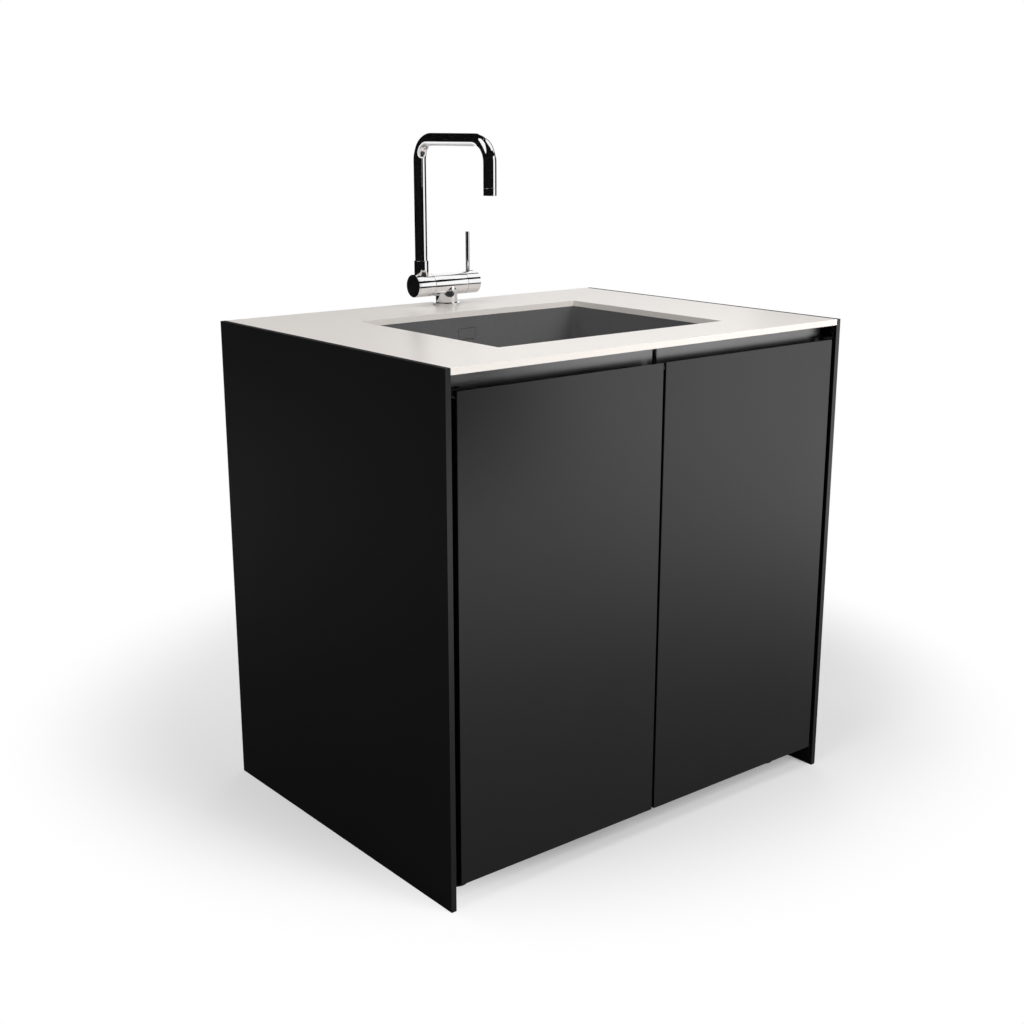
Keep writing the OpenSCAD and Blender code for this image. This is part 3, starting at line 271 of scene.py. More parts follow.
# a material from its own values, with the shared effects laid over its two tones
def makeFinish(name, own):
    v = {**finishValues, **own}
    material, tree = newMaterial(name)
    clouds = useGroup(tree, cloudGroup, Size=v["cloudSize"], Contrast=v["cloudContrast"])["Mask"]
    colour = mixColour(tree, clouds, *map(rgba, v["tones"]))
    for size, share, tone in v["flecks"]:
        flecks = useGroup(tree, fleckGroup, Size=size, Share=share)["Mask"]
        colour = mixColour(tree, flecks, colour, rgba(tone))
    grain = useGroup(tree, grainGroup, Size=v["grainSize"], Stretch=v["stretch"])["Mask"]
    roughness = mathNode(tree, "ADD", swing(tree, grain, v["spread"]), v["roughness"])
    roughness = mathNode(tree, "ADD", roughness, swing(tree, clouds, v["patches"]))
    # edges painted lighter: partly wear, partly a painted edge highlight
    if v["wearAndHighlight"]:
        wornAndHighlit = useGroup(tree, wearAndHighlightGroup, Amount=v["wearAndHighlight"], Radius=v["wearAndHighlightRadius"], Break=v["wearAndHighlightBreak"])
        colour = mixColour(tree, wornAndHighlit["Mask"], colour, rgba(v["wearAndHighlightColour"]))
    if v["dust"]:
        lying = useGroup(tree, dustGroup, Amount=v["dust"], Size=v["dustSize"])["Mask"]
        colour = mixColour(tree, lying, colour, rgba(v["dustColour"]))
        dull = times(tree, lying, v["dustRoughness"])
        roughness = mathNode(tree, "ADD", roughness, dull, clamp=True)
    bump = addNode(tree, "ShaderNodeBump", {
        "Strength": v["bump"], "Distance": v["bumpDepth"], "Height": grain})[0]
    if v["pitch"]:
        turns = useGroup(tree, threadGroup, Pitch=v["pitch"], Along=v["along"])["Height"]
        bump = addNode(tree, "ShaderNodeBump", {
            "Strength": v["threadBump"], "Distance": v["pitch"] * 0.5, "Height": turns, "Normal": bump})[0]
    setInputs(tree, tree.nodes["Principled BSDF"], {
        "Base Color": colour, "Roughness": roughness, "Normal": bump, "Metallic": v["metallic"],
        "Specular IOR Level": v["specular"], "Coat Weight": v["coat"], "Coat Roughness": v["coatRoughness"]})
    return material


sidePanelBlack = makeFinish("sidePanelBlack", {
    "tones": ((0.0047, 0.0047, 0.0049), (0.0056, 0.0056, 0.0058)), "cloudSize": 0.25,
    "roughness": 0.5, "spread": 0.12, "specular": 0.03, "grainSize": 0.0009, "bump": 0.25,
    "wearAndHighlight": 0.5, "wearAndHighlightColour": (0.05, 0.05, 0.052), "wearAndHighlightRadius": 0.0009, "dust": 0.02,
})
doorAnthracite = makeFinish("doorAnthracite", {
    "tones": ((0.0020, 0.0020, 0.0022), (0.0028, 0.0028, 0.0030)), "cloudSize": 0.3,
    "roughness": 0.3, "spread": 0.06, "specular": 0.85, "grainSize": 0.0006, "bump": 0.15,
    "wearAndHighlight": 0.4, "wearAndHighlightColour": (0.05, 0.05, 0.052), "wearAndHighlightRadius": 0.0008, "dust": 0.02,
})
gripAluminium = makeFinish("gripAluminium", {
    "tones": ((0.23, 0.23, 0.234), (0.28, 0.28, 0.284)), "cloudSize": 0.15, "metallic": 1.0,
    "roughness": 0.3, "spread": 0.1, "grainSize": 0.0006, "stretch": (0.02, 1, 1), "bump": 0.12,
    "bumpDepth": 0.00004,
})
worktopStone = makeFinish("worktopStone", {
    "tones": ((0.737, 0.692, 0.653), (0.766, 0.721, 0.682)), "cloudSize": 0.3, "cloudContrast": 1.6,
    "flecks": ((0.0009, 0.12, (0.66, 0.63, 0.60)), (0.0015, 0.05, (0.86, 0.84, 0.82))),
    "roughness": 0.32, "spread": 0.08, "grainSize": 0.0007, "bump": 0.1,
})
basinComposite = makeFinish("basinComposite", {
    "tones": ((0.105, 0.105, 0.107), (0.126, 0.126, 0.128)), "cloudSize": 0.2,
    "flecks": ((0.0011, 0.16, (0.06, 0.06, 0.062)), (0.0008, 0.10, (0.25, 0.25, 0.25))),
    "roughness": 0.55, "spread": 0.15, "specular": 0.35, "grainSize": 0.001, "bump": 0.3,
    "dust": 0.02,
})
carcassBoard = makeFinish("carcassBoard", {
    "tones": ((0.075, 0.075, 0.078), (0.09, 0.09, 0.093)), "cloudSize": 0.2,
    "roughness": 0.5, "spread": 0.15, "grainSize": 0.0012, "stretch": (1, 1, 0.25), "bump": 0.3,
    "wearAndHighlight": 0.3, "wearAndHighlightColour": (0.2, 0.19, 0.18), "dust": 0.05,
})
coreBoard = makeFinish("coreBoard", {
    "tones": ((0.42, 0.32, 0.2), (0.5, 0.4, 0.27)), "cloudSize": 0.04,
    "flecks": ((0.003, 0.3, (0.34, 0.25, 0.15)), (0.0015, 0.2, (0.58, 0.48, 0.34))),
    "roughness": 0.85, "spread": 0.1, "grainSize": 0.0015, "bump": 0.6, "bumpDepth": 0.0003,
})
tapChrome = makeFinish("tapChrome", {
    "tones": ((0.92, 0.92, 0.925), (0.97, 0.97, 0.975)), "cloudSize": 0.05, "metallic": 1.0,
    "roughness": 0.04, "spread": 0.02, "patches": 0.02, "grainSize": 0.004, "bump": 0.002,
    "bumpDepth": 0.00001,
})
brassFinish = makeFinish("brass", {
    "tones": ((0.62, 0.45, 0.2), (0.7, 0.54, 0.28)), "cloudSize": 0.02, "metallic": 1.0,
    "roughness": 0.3, "spread": 0.2, "grainSize": 0.0006, "bump": 0.1, "pitch": 0.0015,
})
brushedSteel = makeFinish("brushedSteel", {
    "tones": ((0.56, 0.56, 0.57), (0.64, 0.64, 0.65)), "cloudSize": 0.04, "metallic": 1.0,
    "roughness": 0.28, "spread": 0.25, "grainSize": 0.0006, "stretch": (1, 1, 0.05), "bump": 0.1,
    "bumpDepth": 0.00003,
})
zincSteel = makeFinish("zincSteel", {
    "tones": ((0.5, 0.51, 0.53), (0.62, 0.62, 0.6)), "cloudSize": 0.008, "metallic": 1.0,
    "roughness": 0.34, "spread": 0.2, "grainSize": 0.0008, "bump": 0.2, "bumpDepth": 0.00004,
})
darkSteel = makeFinish("darkSteel", {
    "tones": ((0.015, 0.015, 0.016), (0.022, 0.022, 0.023)), "cloudSize": 0.008, "metallic": 1.0,
    "roughness": 0.5, "spread": 0.2, "grainSize": 0.0007, "bump": 0.2, "bumpDepth": 0.00004,
})
bracketBlack = makeFinish("bracketBlack", {
    "tones": ((0.0030, 0.0030, 0.0031), (0.0046, 0.0046, 0.0047)), "cloudSize": 0.02,
    "roughness": 0.6, "spread": 0.2, "specular": 0.15, "grainSize": 0.0007, "bump": 0.4,
    "wearAndHighlight": 0.3, "wearAndHighlightColour": (0.02, 0.02, 0.02), "wearAndHighlightRadius": 0.0005,
})
blackPlastic = makeFinish("blackPlastic", {
    "tones": ((0.016, 0.016, 0.016), (0.024, 0.024, 0.024)), "cloudSize": 0.03,
    "roughness": 0.45, "spread": 0.15, "grainSize": 0.0009, "bump": 0.3, "dust": 0.08,
})
greyPlastic = makeFinish("greyPlastic", {
    "tones": ((0.52, 0.52, 0.51), (0.58, 0.58, 0.56)), "cloudSize": 0.05,
    "roughness": 0.35, "spread": 0.1, "grainSize": 0.0012, "bump": 0.15, "dust": 0.15,
})
rubberBlack = makeFinish("rubberBlack", {
    "tones": ((0.018, 0.018, 0.018), (0.028, 0.028, 0.028)), "cloudSize": 0.01,
    "roughness": 0.8, "spread": 0.1, "grainSize": 0.0006, "bump": 0.4,
})
handleRed = makeFinish("handleRed", {
    "tones": ((0.42, 0.02, 0.015), (0.5, 0.03, 0.02)), "cloudSize": 0.01,
    "roughness": 0.3, "spread": 0.1, "grainSize": 0.001, "bump": 0.2, "coat": 0.3,
})
handleBlue = makeFinish("handleBlue", {
    "tones": ((0.012, 0.06, 0.32), (0.02, 0.08, 0.4)), "cloudSize": 0.01,
    "roughness": 0.3, "spread": 0.1, "grainSize": 0.001, "bump": 0.2, "coat": 0.3,
})


braidValues = {
    "strands": 12.0, "dark": (0.12, 0.12, 0.13), "bright": (0.66, 0.66, 0.68), "shade": (0.15, 0.5),
    "strength": 0.9, "depth": 0.0006, "roughness": 0.32,
}


# steel braid on the hoses: two sets of strands over the piece's own map, with painted shade in the grooves
# between the strands
def makeBraid(v):
    material, tree = newMaterial("hoseBraid")
    place = addNode(tree, "ShaderNodeUVMap", uv_map="length")[0]
    split = addNode(tree, "ShaderNodeSeparateXYZ", {0: place})
    around, along = (times(tree, split[side], v["strands"]) for side in "XY")
    height = mathNode(tree, "MAXIMUM", *(
        mathNode(tree, "PINGPONG", mathNode(tree, way, around, along), 0.5) for way in ("ADD", "SUBTRACT")))
    # low places between the strands take the dark tone: painted shade
    colour = mixColour(tree, ramp(tree, height, *v["shade"]), rgba(v["dark"]), rgba(v["bright"]))
    bump = addNode(tree, "ShaderNodeBump", {
        "Strength": v["strength"], "Distance": v["depth"], "Height": height})[0]
    setInputs(tree, tree.nodes["Principled BSDF"], {
        "Base Color": colour, "Normal": bump, "Metallic": 1.0, "Roughness": v["roughness"]})
    return material


hoseBraid = makeBraid(braidValues)
print("materials made")


def setMaterial(piece, material):
    piece.data.materials.clear()
    piece.data.materials.append(material)


def newPiece(name, mesh, material):
    piece = bpy.data.objects.new(name, mesh)
    scene.collection.objects.link(piece)
    setMaterial(piece, material)
    return piece


# the piece with its modifiers made plain
def settled(piece):
    bpy.context.view_layer.update()
    result = bpy.data.meshes.new_from_object(piece.evaluated_get(bpy.context.evaluated_depsgraph_get()))
    piece.modifiers.clear()
    piece.data = result
    return piece


# the mesh opened for editing and then written back
@contextlib.contextmanager
def edited(mesh):
    shape = bmesh.new()
    shape.from_mesh(mesh)
    yield shape
    shape.to_mesh(mesh)
    shape.free()


def shadeByAngle(mesh, degrees):
    mesh.polygons.foreach_set("use_smooth", [True] * len(mesh.polygons))
    mesh.set_sharp_from_angle(angle=math.radians(degrees))


def standFor(piece, node):
    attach(piece, nodes[node]["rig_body"])
    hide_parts(node)


weld = 2e-6  # points of a CAD mesh nearer than this are one
flatAngle = 0.4
bevelAngle = 34


# a merged copy of a CAD piece with its edges softened by a width in millimetres
def soften(node, material, width, front=None):
    mesh = nodes[node].data.copy()
    with edited(mesh) as shape:
        bmesh.ops.remove_doubles(shape, verts=shape.verts, dist=weld)
        bmesh.ops.dissolve_limit(
            shape, angle_limit=math.radians(flatAngle), verts=shape.verts, edges=shape.edges)
    for name in [a.name for a in mesh.attributes if a.name in ("custom_normal", "sharp_edge", "sharp_face")]:
        mesh.attributes.remove(mesh.attributes[name])
    piece = newPiece(node + ".soft", mesh, material)
    shadeByAngle(mesh, 25)
    bevel = piece.modifiers.new("edges", "BEVEL")
    bevel.width = width * mm
    bevel.segments = 2
    bevel.limit_method = "ANGLE"
    bevel.angle_limit = math.radians(bevelAngle)
    bevel.harden_normals = True
    bevel.miter_outer = "MITER_ARC"
    settled(piece)
    if front:
        piece.data.materials.append(front)
        for face in piece.data.polygons:
            face.material_index = int(face.normal.y < -0.3)  # what faces the front
    standFor(piece, node)


# pieces, finish, edge width and, where it differs, the finish of the front
softEdges = (
    ("side_panel_left side_panel_right", sidePanelBlack, 1.2, doorAnthracite),
    ("worktop", worktopStone, 0.8),
    ("basin", basinComposite, 1.2),
    ("overflow_cover", basinComposite, 0.4),
    ("left_door_tray right_door_tray", doorAnthracite, 0.6),
    ("left_grip_profile right_grip_profile", gripAluminium, 0.4),
    ("left_door_core right_door_core", coreBoard, 0.3),
    ("left_door_back right_door_back", carcassBoard, 0.5),
    ("left_door_fittings right_door_fittings", brushedSteel, 0.3),
    ("carcass_side_left carcass_side_right carcass_bottom", carcassBoard, 0.5),
    ("back_panel", carcassBoard, 0.4),
    ("front_rail back_rail", carcassBoard, 0.5),
    ("foot_sockets", blackPlastic, 0.4),
    ("pivot_brackets", bracketBlack, 0.3),
    ("pivot_pins", darkSteel, 0.3),
    ("door_magnets", brushedSteel, 0.4),
    ("basin_clips", zincSteel, 0.4),
    ("waste_cup", blackPlastic, 0.6),
    ("trap_body", greyPlastic, 0.6),
    ("waste_pipe", greyPlastic, 0.4),
    ("cartridge", greyPlastic, 0.3),
    ("tap_shank", brassFinish, 0.4),
    ("shank_washer", rubberBlack, 0.6),
    ("shank_nut", brassFinish, 0.5),
    ("hot_valve cold_valve", tapChrome, 0.5),
    ("hot_handle", handleRed, 0.8),
    ("cold_handle", handleBlue, 0.8),
    ("mixer_knob", tapChrome, 0.5),
)

for names, *finish in softEdges:
    for node in names.split():
        soften(node, *finish)
print("softened pieces made")


# the corners of an outline as small arcs
def roundOutline(points, radius, closed, steps=4):
    result = []
    count = len(points)
    for i, corner in enumerate(points):
        if not closed and i in (0, count - 1):
            result.append(corner)
            continue
        before = Vector(points[i - 1]) - Vector(corner)
        after = Vector(points[(i + 1) % count]) - Vector(corner)
        half = before.angle(after) / 2
        if half > math.radians(85):  # nearly straight
            result.append(corner)
            continue
        cut = min(radius / math.tan(half), before.length * 0.45, after.length * 0.45)
        start = Vector(corner) + before.normalized() * cut
        end = Vector(corner) + after.normalized() * cut
        for k in range(steps + 1):
            t = k / steps
            point = start * (1 - t) ** 2 + Vector(corner) * 2 * t * (1 - t) + end * t ** 2
            result.append(tuple(point))
    return result


onAxis = 1e-6  # a smaller radius is a point on the axis
smoothAngle = 32
upright, acrossX, acrossY = (0, 0, 1), (1, 0, 0), (0, 1, 0)


# shells turned from outlines of (radius, height) in millimetres about an axis
def turned(name, outlines, place, axis, material, radius=0.4, segments=96):
    mesh = bpy.data.meshes.new(name)
    turn = up.rotation_difference(Vector(axis))
    with edited(mesh) as shape:

        def point(r, h, k):
            angle = 2 * math.pi * k / segments
            way = Vector((r * math.cos(angle), r * math.sin(angle), h))
            return shape.verts.new(turn @ way * mm + Vector(place) * mm)

        for outline in outlines:
            closed = min(r for r, h in outline) > onAxis
            rings = [[point(r, h, k) for k in range(1 if r < onAxis else segments)]
                     for r, h in roundOutline(outline, radius, closed)]
            for low, high in list(zip(rings, rings[1:])) + ([(rings[-1], rings[0])] if closed else []):
                for k in range(segments):
                    corners = [ring[j % len(ring)] for ring, j in (
                        (low, k), (low, (k + 1) % segments), (high, (k + 1) % segments), (high, k))]
                    unique = list(dict.fromkeys(corners))
                    if len(unique) > 2:
                        shape.faces.new(unique)
        bmesh.ops.recalc_face_normals(shape, faces=shape.faces)
    shadeByAngle(mesh, smoothAngle)
    return newPiece(name, mesh, material)


def tubeOutline(inner, outer, low, high):
    return [(inner, low), (outer, low), (outer, high), (inner, high)]


def boxOf(node):
    return (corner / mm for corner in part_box(node))


# lengths in millimetres; "seat" is the tap's axis on the worktop, and the turning left section ends at "seam"
tapValues = {
    "seat": (24, 300), "worktopHeight": 900, "axisHeight": 941, "softness": 0.5,
    "flangeBore": 16.6, "flangeRadius": 27.5, "flangeHeight": 4, "postRadius": 22.3, "bodyRadius": 22.5,
    # the stub turns in the barrel's bore and ends short of the post
    "stubRadius": 12, "stubPlay": 0.4, "stubGap": 1, "seam": -16.55,
    "capThickness": 3, "capPinRadius": 6, "capLength": 8,
    "collarSeat": 957, "collarBore": 12.9, "collarRadius": 14.5, "collarHeight": 33,
    "spoutAxis": (-36.75, 300), "spoutFoot": 990.3, "spoutRadius": 12.5, "spoutTop": 1222,
    "bendRadius": 40, "bendSteps": 64, "sides": 96,
    "outletFront": 79, "outletLow": 1123, "outletBore": 10, "outletLength": 13.45, "outletGap": 0.15,
    "guideRadius": 10.4, "guide": (3, 7),
}


def makeTap(v):
    seatX, seatY = v["seat"]
    body = v["bodyRadius"]

    def part(name, outlines, place, axis):
        return turned(name, outlines, place, axis, tapChrome, v["softness"])

    flange = tubeOutline(v["flangeBore"], v["flangeRadius"], 0, v["flangeHeight"])
    standFor(part("tapFlange", [flange], (seatX, seatY, v["worktopHeight"]), upright), "tap_flange")
    left, right = (corner.x for corner in boxOf("tap_body"))
    hole = v["stubRadius"] + v["stubPlay"]
    stubEnd = seatX - v["postRadius"] - v["stubGap"]
    depth = stubEnd - left + v["stubPlay"]
    barrel = [(0, depth), (hole, depth), (hole, 0), (body, 0), (body, right - left), (0, right - left)]
    piece = part("tapBarrel", [barrel], (left, seatY, v["axisHeight"]), acrossX)
    foot = v["worktopHeight"] + v["flangeHeight"]
    post = tubeOutline(0, v["postRadius"], 0, v["axisHeight"] - foot)
    joinInto(piece, part("tapPost", [post], (seatX, seatY, foot), upright))
    standFor(piece, "tap_body")
    left = next(boxOf("spout_carrier")).x
    seam, end = v["seam"] - left, stubEnd - left
    carrier = [(0, 0), (body, 0), (body, seam), (v["stubRadius"], seam), (v["stubRadius"], end), (0, end)]
    standFor(part("spoutCarrier", [carrier], (left, seatY, v["axisHeight"]), acrossX), "spout_carrier")
    left = next(boxOf("carrier_cap")).x
    disc, pin, length = v["capThickness"], v["capPinRadius"], v["capLength"]
    cap = [(0, 0), (body, 0), (body, disc), (pin, disc), (pin, length), (0, length)]
    standFor(part("carrierCap", [cap], (left, seatY, v["axisHeight"]), acrossX), "carrier_cap")
    collar = tubeOutline(v["collarBore"], v["collarRadius"], 0, v["collarHeight"])
    standFor(part("spoutCollar", [collar], (*v["spoutAxis"], v["collarSeat"]), upright), "spout_collar")
    ring = tubeOutline(v["outletBore"], v["spoutRadius"], 0, v["outletLength"])
    guide = tubeOutline(0, v["guideRadius"], *v["guide"])
    place = (v["spoutAxis"][0], v["outletFront"], v["outletLow"])
    standFor(part("spoutOutlet", [ring, guide], place, upright), "spout_outlet")


# the other's shells inside the piece, each with its own finish
def joinInto(piece, other):
    materials = piece.data.materials
    finish = other.data.materials[0]
    if finish.name not in materials:
        materials.append(finish)
    with edited(piece.data) as shape:
        count = len(shape.faces)
        shape.from_mesh(other.data)
        shape.faces.ensure_lookup_table()
        for face in shape.faces[count:]:
            face.material_index = materials.find(finish.name)
    bpy.data.objects.remove(other)


makeTap(tapValues)


# ends every Geometry Nodes tree: real faces in one finish
def finishTree(tree, given, parts):
    joined = addNode(tree, "GeometryNodeJoinGeometry", {0: parts})[0]
    plain = addNode(tree, "GeometryNodeRealizeInstances", {0: joined})[0]
    done = addNode(tree, "GeometryNodeSetMaterial", {"Geometry": plain, "Material": given["Material"]})[0]
    return ended(tree, Geometry=done)


# the piece's edges as a curve with its corners bent
def bentPath(tree, given, steps):
    path = addNode(tree, "GeometryNodeMeshToCurve", {"Mesh": given["Geometry"]})[0]
    return addNode(tree, "GeometryNodeFilletCurve", {
        "Curve": path, "Radius": given["Bend radius"], "Count": steps}, mode="POLY")[0]


# Geometry Nodes tree: a round tube along a path of straight runs
def makeTubeTree():
    tree, given = newMeshTree("bentTube", Radius=0.0125, Bend_radius=0.04, Bend_steps=16, Sides=64)
    circle = addNode(tree, "GeometryNodeCurvePrimitiveCircle", {
        "Resolution": given["Sides"], "Radius": given["Radius"]})[0]
    tube = addNode(tree, "GeometryNodeCurveToMesh", {
        "Curve": bentPath(tree, given, given["Bend steps"]), "Profile Curve": circle, "Fill Caps": True})[0]
    return finishTree(tree, given, [tube])


tubeTree = makeTubeTree()


# runs a Geometry Nodes tree over a piece and keeps the result as a plain mesh
def grown(piece, tree, values):
    modifier = piece.modifiers.new(tree.name, "NODES")
    modifier.node_group = tree
    for item in tree.interface.items_tree:
        if item.item_type == "SOCKET" and item.in_out == "INPUT" and item.name in values:
            modifier[item.identifier] = values[item.name]
    settled(piece)
    setMaterial(piece, values["Material"])
    piece.data.polygons.foreach_set("material_index", [0] * len(piece.data.polygons))
    return piece


def pathPiece(name, points, material):
    mesh = bpy.data.meshes.new(name)
    mesh.from_pydata([Vector(p) * mm for p in points], [(i, i + 1) for i in range(len(points) - 1)], [])
    return newPiece(name, mesh, material)


def makeSpout(v):
    x, y = v["spoutAxis"]
    front, top = v["outletFront"], v["spoutTop"]
    low = v["outletLow"] + v["outletLength"] + v["outletGap"]
    corners = [(x, y, v["spoutFoot"]), (x, y, top), (x, front, top), (x, front, low)]
    path = pathPiece("spoutTube", corners, tapChrome)
    grown(path, tubeTree, {
        "Radius": v["spoutRadius"] * mm, "Bend radius": v["bendRadius"] * mm, "Bend steps": v["bendSteps"],
        "Sides": v["sides"], "Material": tapChrome})
    shadeByAngle(path.data, smoothAngle)
    with edited(path.data) as shape:
        bmesh.ops.recalc_face_normals(shape, faces=shape.faces)
    standFor(path, "spout")


makeSpout(tapValues)

leverValues = {"place": (78.25, 300, 941), "radius": 4, "top": 101, "hub": 7, "axle": 2.5, "axleEnd": 20.2}


def makeLever(v):
    rod = tubeOutline(0, v["radius"], 0, v["top"])
    hub = tubeOutline(0, v["hub"], -v["hub"], v["hub"])
    axle = tubeOutline(0, v["axle"], -v["axleEnd"], v["axleEnd"])
    piece = turned("leverPin", [rod], v["place"], upright, tapChrome, 0.8, 48)
    joinInto(piece, turned("leverHub", [hub, axle], v["place"], acrossY, tapChrome, 0.3, 48))
    standFor(piece, "lever")


makeLever(leverValues)
print("tap made")


def attributeNode(tree, name, kind="FLOAT"):
    return addNode(tree, "GeometryNodeInputNamedAttribute", {"Name": name}, data_type=kind)[0]


def shifted(tree, geometry, offset):
    return addNode(tree, "GeometryNodeTransform", {"Geometry": geometry, "Translation": offset})[0]


def ownHeight(tree):
    place = addNode(tree, "GeometryNodeInputPosition")[0]
    return addNode(tree, "ShaderNodeSeparateXYZ", {0: place})[2]


# widens or narrows a mesh about its axis, by a share of each point's place
def waisted(tree, geometry, share):
    place = addNode(tree, "GeometryNodeInputPosition")[0]
    moved = vectorNode(tree, "MULTIPLY", place, combined(tree, share, share, 1.0))[0]
    return addNode(tree, "GeometryNodeSetPosition", {"Geometry": geometry, "Position": moved})[0]


# a cylinder along z
def cylinder(tree, sides, radius, depth, segments=1):
    return addNode(tree, "GeometryNodeMeshCylinder", {
        "Vertices": sides, "Side Segments": segments, "Radius": radius, "Depth": depth})["Mesh"]


# Geometry Nodes tree: a cross-head screw at each point, by the point's own aim and sizes
def makeScrewTree():
    tree, given = newMeshTree(
        "screws", Head_sides=24, Shank_sides=10, Thread_turns=8, Recess_width=0.2, Recess_depth=1.1, Seed=7)
    height = ownHeight(tree)
    crownStart, crownFall, crossLength, threadDepth, tipWidth = 0.45, 0.75, 1.15, 0.2, 0.35
    crown = mathNode(tree, "MAXIMUM", mathNode(tree, "SUBTRACT", height, crownStart), 0.0)
    fall = inverse(tree, times(tree, mathNode(tree, "POWER", crown, 2.0), crownFall))
    disc = shifted(tree, cylinder(tree, given["Head sides"], 1.0, 1.0, 6), (0, 0, 0.5))
    width, depth = given["Recess width"], given["Recess depth"]
    bars = [addNode(tree, "GeometryNodeMeshCube", {"Size": combined(tree, x, y, depth)})["Mesh"]
            for x, y in ((crossLength, width), (width, crossLength))]
    head = addNode(tree, "GeometryNodeMeshBoolean", {
        "Mesh 1": waisted(tree, disc, fall), "Mesh 2": [shifted(tree, bar, (0, 0, 1.0)) for bar in bars]},
        operation="DIFFERENCE", solver="EXACT")["Mesh"]
    turns = times(tree, given["Thread turns"], 2.0)
    crest = mathNode(tree, "PINGPONG", times(tree, height, turns), 1.0)
    groove = inverse(tree, times(tree, crest, threadDepth))
    tip = ramp(tree, height, -1.0, -0.9, tipWidth)
    plain = shifted(tree, cylinder(tree, given["Shank sides"], 1.0, 1.0, turns), (0, 0, -0.5))
    shank = waisted(tree, plain, times(tree, groove, tip))
    aim = attributeNode(tree, "aim", "FLOAT_VECTOR")
    facing = addNode(tree, "FunctionNodeAlignRotationToVector", {"Vector": aim}, axis="Z")[0]
    chance = addNode(tree, "FunctionNodeRandomValue", {
        "Min": 0.0, "Max": 6.28, "Seed": given["Seed"]}, data_type="FLOAT")
    angle = next(o for o in chance if o.enabled and o.type == "VALUE")
    own = addNode(tree, "FunctionNodeAxisAngleToRotation", {"Axis": (0, 0, 1), "Angle": angle})[0]
    spun = addNode(tree, "FunctionNodeRotateRotation", {0: facing, 1: own}, rotation_space="LOCAL")[0]
    parts = []
    for mesh, wide, tall in ((head, "headWide", "headTall"), (shank, "shankWide", "shankLong")):
        scale = combined(tree, *(attributeNode(tree, name) for name in (wide, wide, tall)))
        parts.append(addNode(tree, "GeometryNodeInstanceOnPoints", {
            "Points": given["Geometry"], "Instance": mesh, "Rotation": spun, "Scale": scale})[0])
    return finishTree(tree, given, parts)


# the separate shells of a CAD piece, each as its list of points
def shellsOf(node):
    shape = bmesh.new()
    shape.from_mesh(nodes[node].data)
    bmesh.ops.remove_doubles(shape, verts=shape.verts, dist=weld)
    seen = set()
    shells = []
    for start in shape.verts:
        if start in seen:
            continue
        seen.add(start)
        waiting, shell = [start], []
        while waiting:
            vertex = waiting.pop()
            shell.append(vertex.co.copy())
            for edge in vertex.link_edges:
                other = edge.other_vert(vertex)
                if other not in seen:
                    seen.add(other)
                    waiting.append(other)
        shells.append(shell)
    shape.free()
    return shells


# where a screw's head sits, the way it faces, and its sizes, read from its CAD shell
def screwFacts(shell):
    low = Vector([min(p[i] for p in shell) for i in range(3)])
    high = Vector([max(p[i] for p in shell) for i in range(3)])
    axis = max(range(3), key=lambda i: high[i] - low[i])
    middle = (low + high) / 2
    line = Vector([i == axis for i in range(3)])
    away = [(p - middle - (p - middle).dot(line) * line).length for p in shell]
    headWide = max(away)
    onHead = [p[axis] for p, r in zip(shell, away) if r > headWide * 0.95]
    side = 1 if sum(onHead) / len(onHead) > middle[axis] else -1
    seat = min(onHead) if side > 0 else max(onHead)
    tip = low[axis] if side > 0 else high[axis]
    shankWide = max(r for p, r in zip(shell, away) if abs(p[axis] - tip) < 1e-5)
    place = middle.copy()
    place[axis] = seat
    return place, {"aim": side * line, "headWide": headWide, "headTall": max(onHead) - min(onHead),
                   "shankWide": shankWide, "shankLong": abs(seat - tip)}


screwTree = makeScrewTree()
screwValues = {
    "carcass_screws": (zincSteel, {"Head sides": 28, "Recess width": 0.24, "Thread turns": 12}),
    "panel_screws": (zincSteel, {"Head sides": 24, "Recess width": 0.2, "Thread turns": 10}),
    "fitting_screws": (darkSteel, {"Head sides": 24, "Recess width": 0.2, "Thread turns": 6}),
}


def makeScrews(values):
    for node, (finish, sizes) in values.items():
        facts = [screwFacts(shell) for shell in shellsOf(node)]
        mesh = bpy.data.meshes.new(node + ".crossHead")
        mesh.from_pydata([place for place, own in facts], [], [])
        for name in facts[0][1]:
            kind, key = ("FLOAT_VECTOR", "vector") if name == "aim" else ("FLOAT", "value")
            attribute = mesh.attributes.new(name, kind, "POINT")
            for item, (place, own) in zip(attribute.data, facts):
                setattr(item, key, own[name])
        piece = newPiece(node + ".crossHead", mesh, finish)
        grown(piece, screwTree, {**sizes, "Material": finish})
        shadeByAngle(piece.data, 35)
        standFor(piece, node)
        print("screws in", node, len(facts))


makeScrews(screwValues)


# Geometry Nodes tree: grip ribs in a ring round a turned body
def makeRibTree():
    tree, given = newMeshTree("gripRibs", Count=8, Ring_radius=0.02, Rib_radius=0.002, Rib_length=0.01,
                              Lift=0.001, Place=(0, 0, 0), Turn=(0, 0, 0))
    share = mathNode(tree, "DIVIDE", mathNode(tree, "ABSOLUTE", ownHeight(tree)), given["Rib length"])
    plain = cylinder(tree, 12, given["Rib radius"], given["Rib length"], 12)
    rib = waisted(tree, plain, ramp(tree, share, 0.4, 0.5, 1.0, 0.45))  # narrower towards both ends
    middle = mathNode(tree, "ADD", given["Lift"], times(tree, given["Rib length"], 0.5))
    ring = addNode(tree, "GeometryNodeMeshCircle", {
        "Vertices": given["Count"], "Radius": given["Ring radius"]})[0]
    ribs = addNode(tree, "GeometryNodeInstanceOnPoints", {
        "Points": ring, "Instance": shifted(tree, rib, combined(tree, z=middle))})[0]
    placed = addNode(tree, "GeometryNodeTransform", {
        "Geometry": ribs, "Translation": given["Place"], "Rotation": given["Turn"]})[0]
    return finishTree(tree, given, [given["Geometry"], placed])


ribTree = makeRibTree()
toBack = (-math.pi / 2, 0, 0)


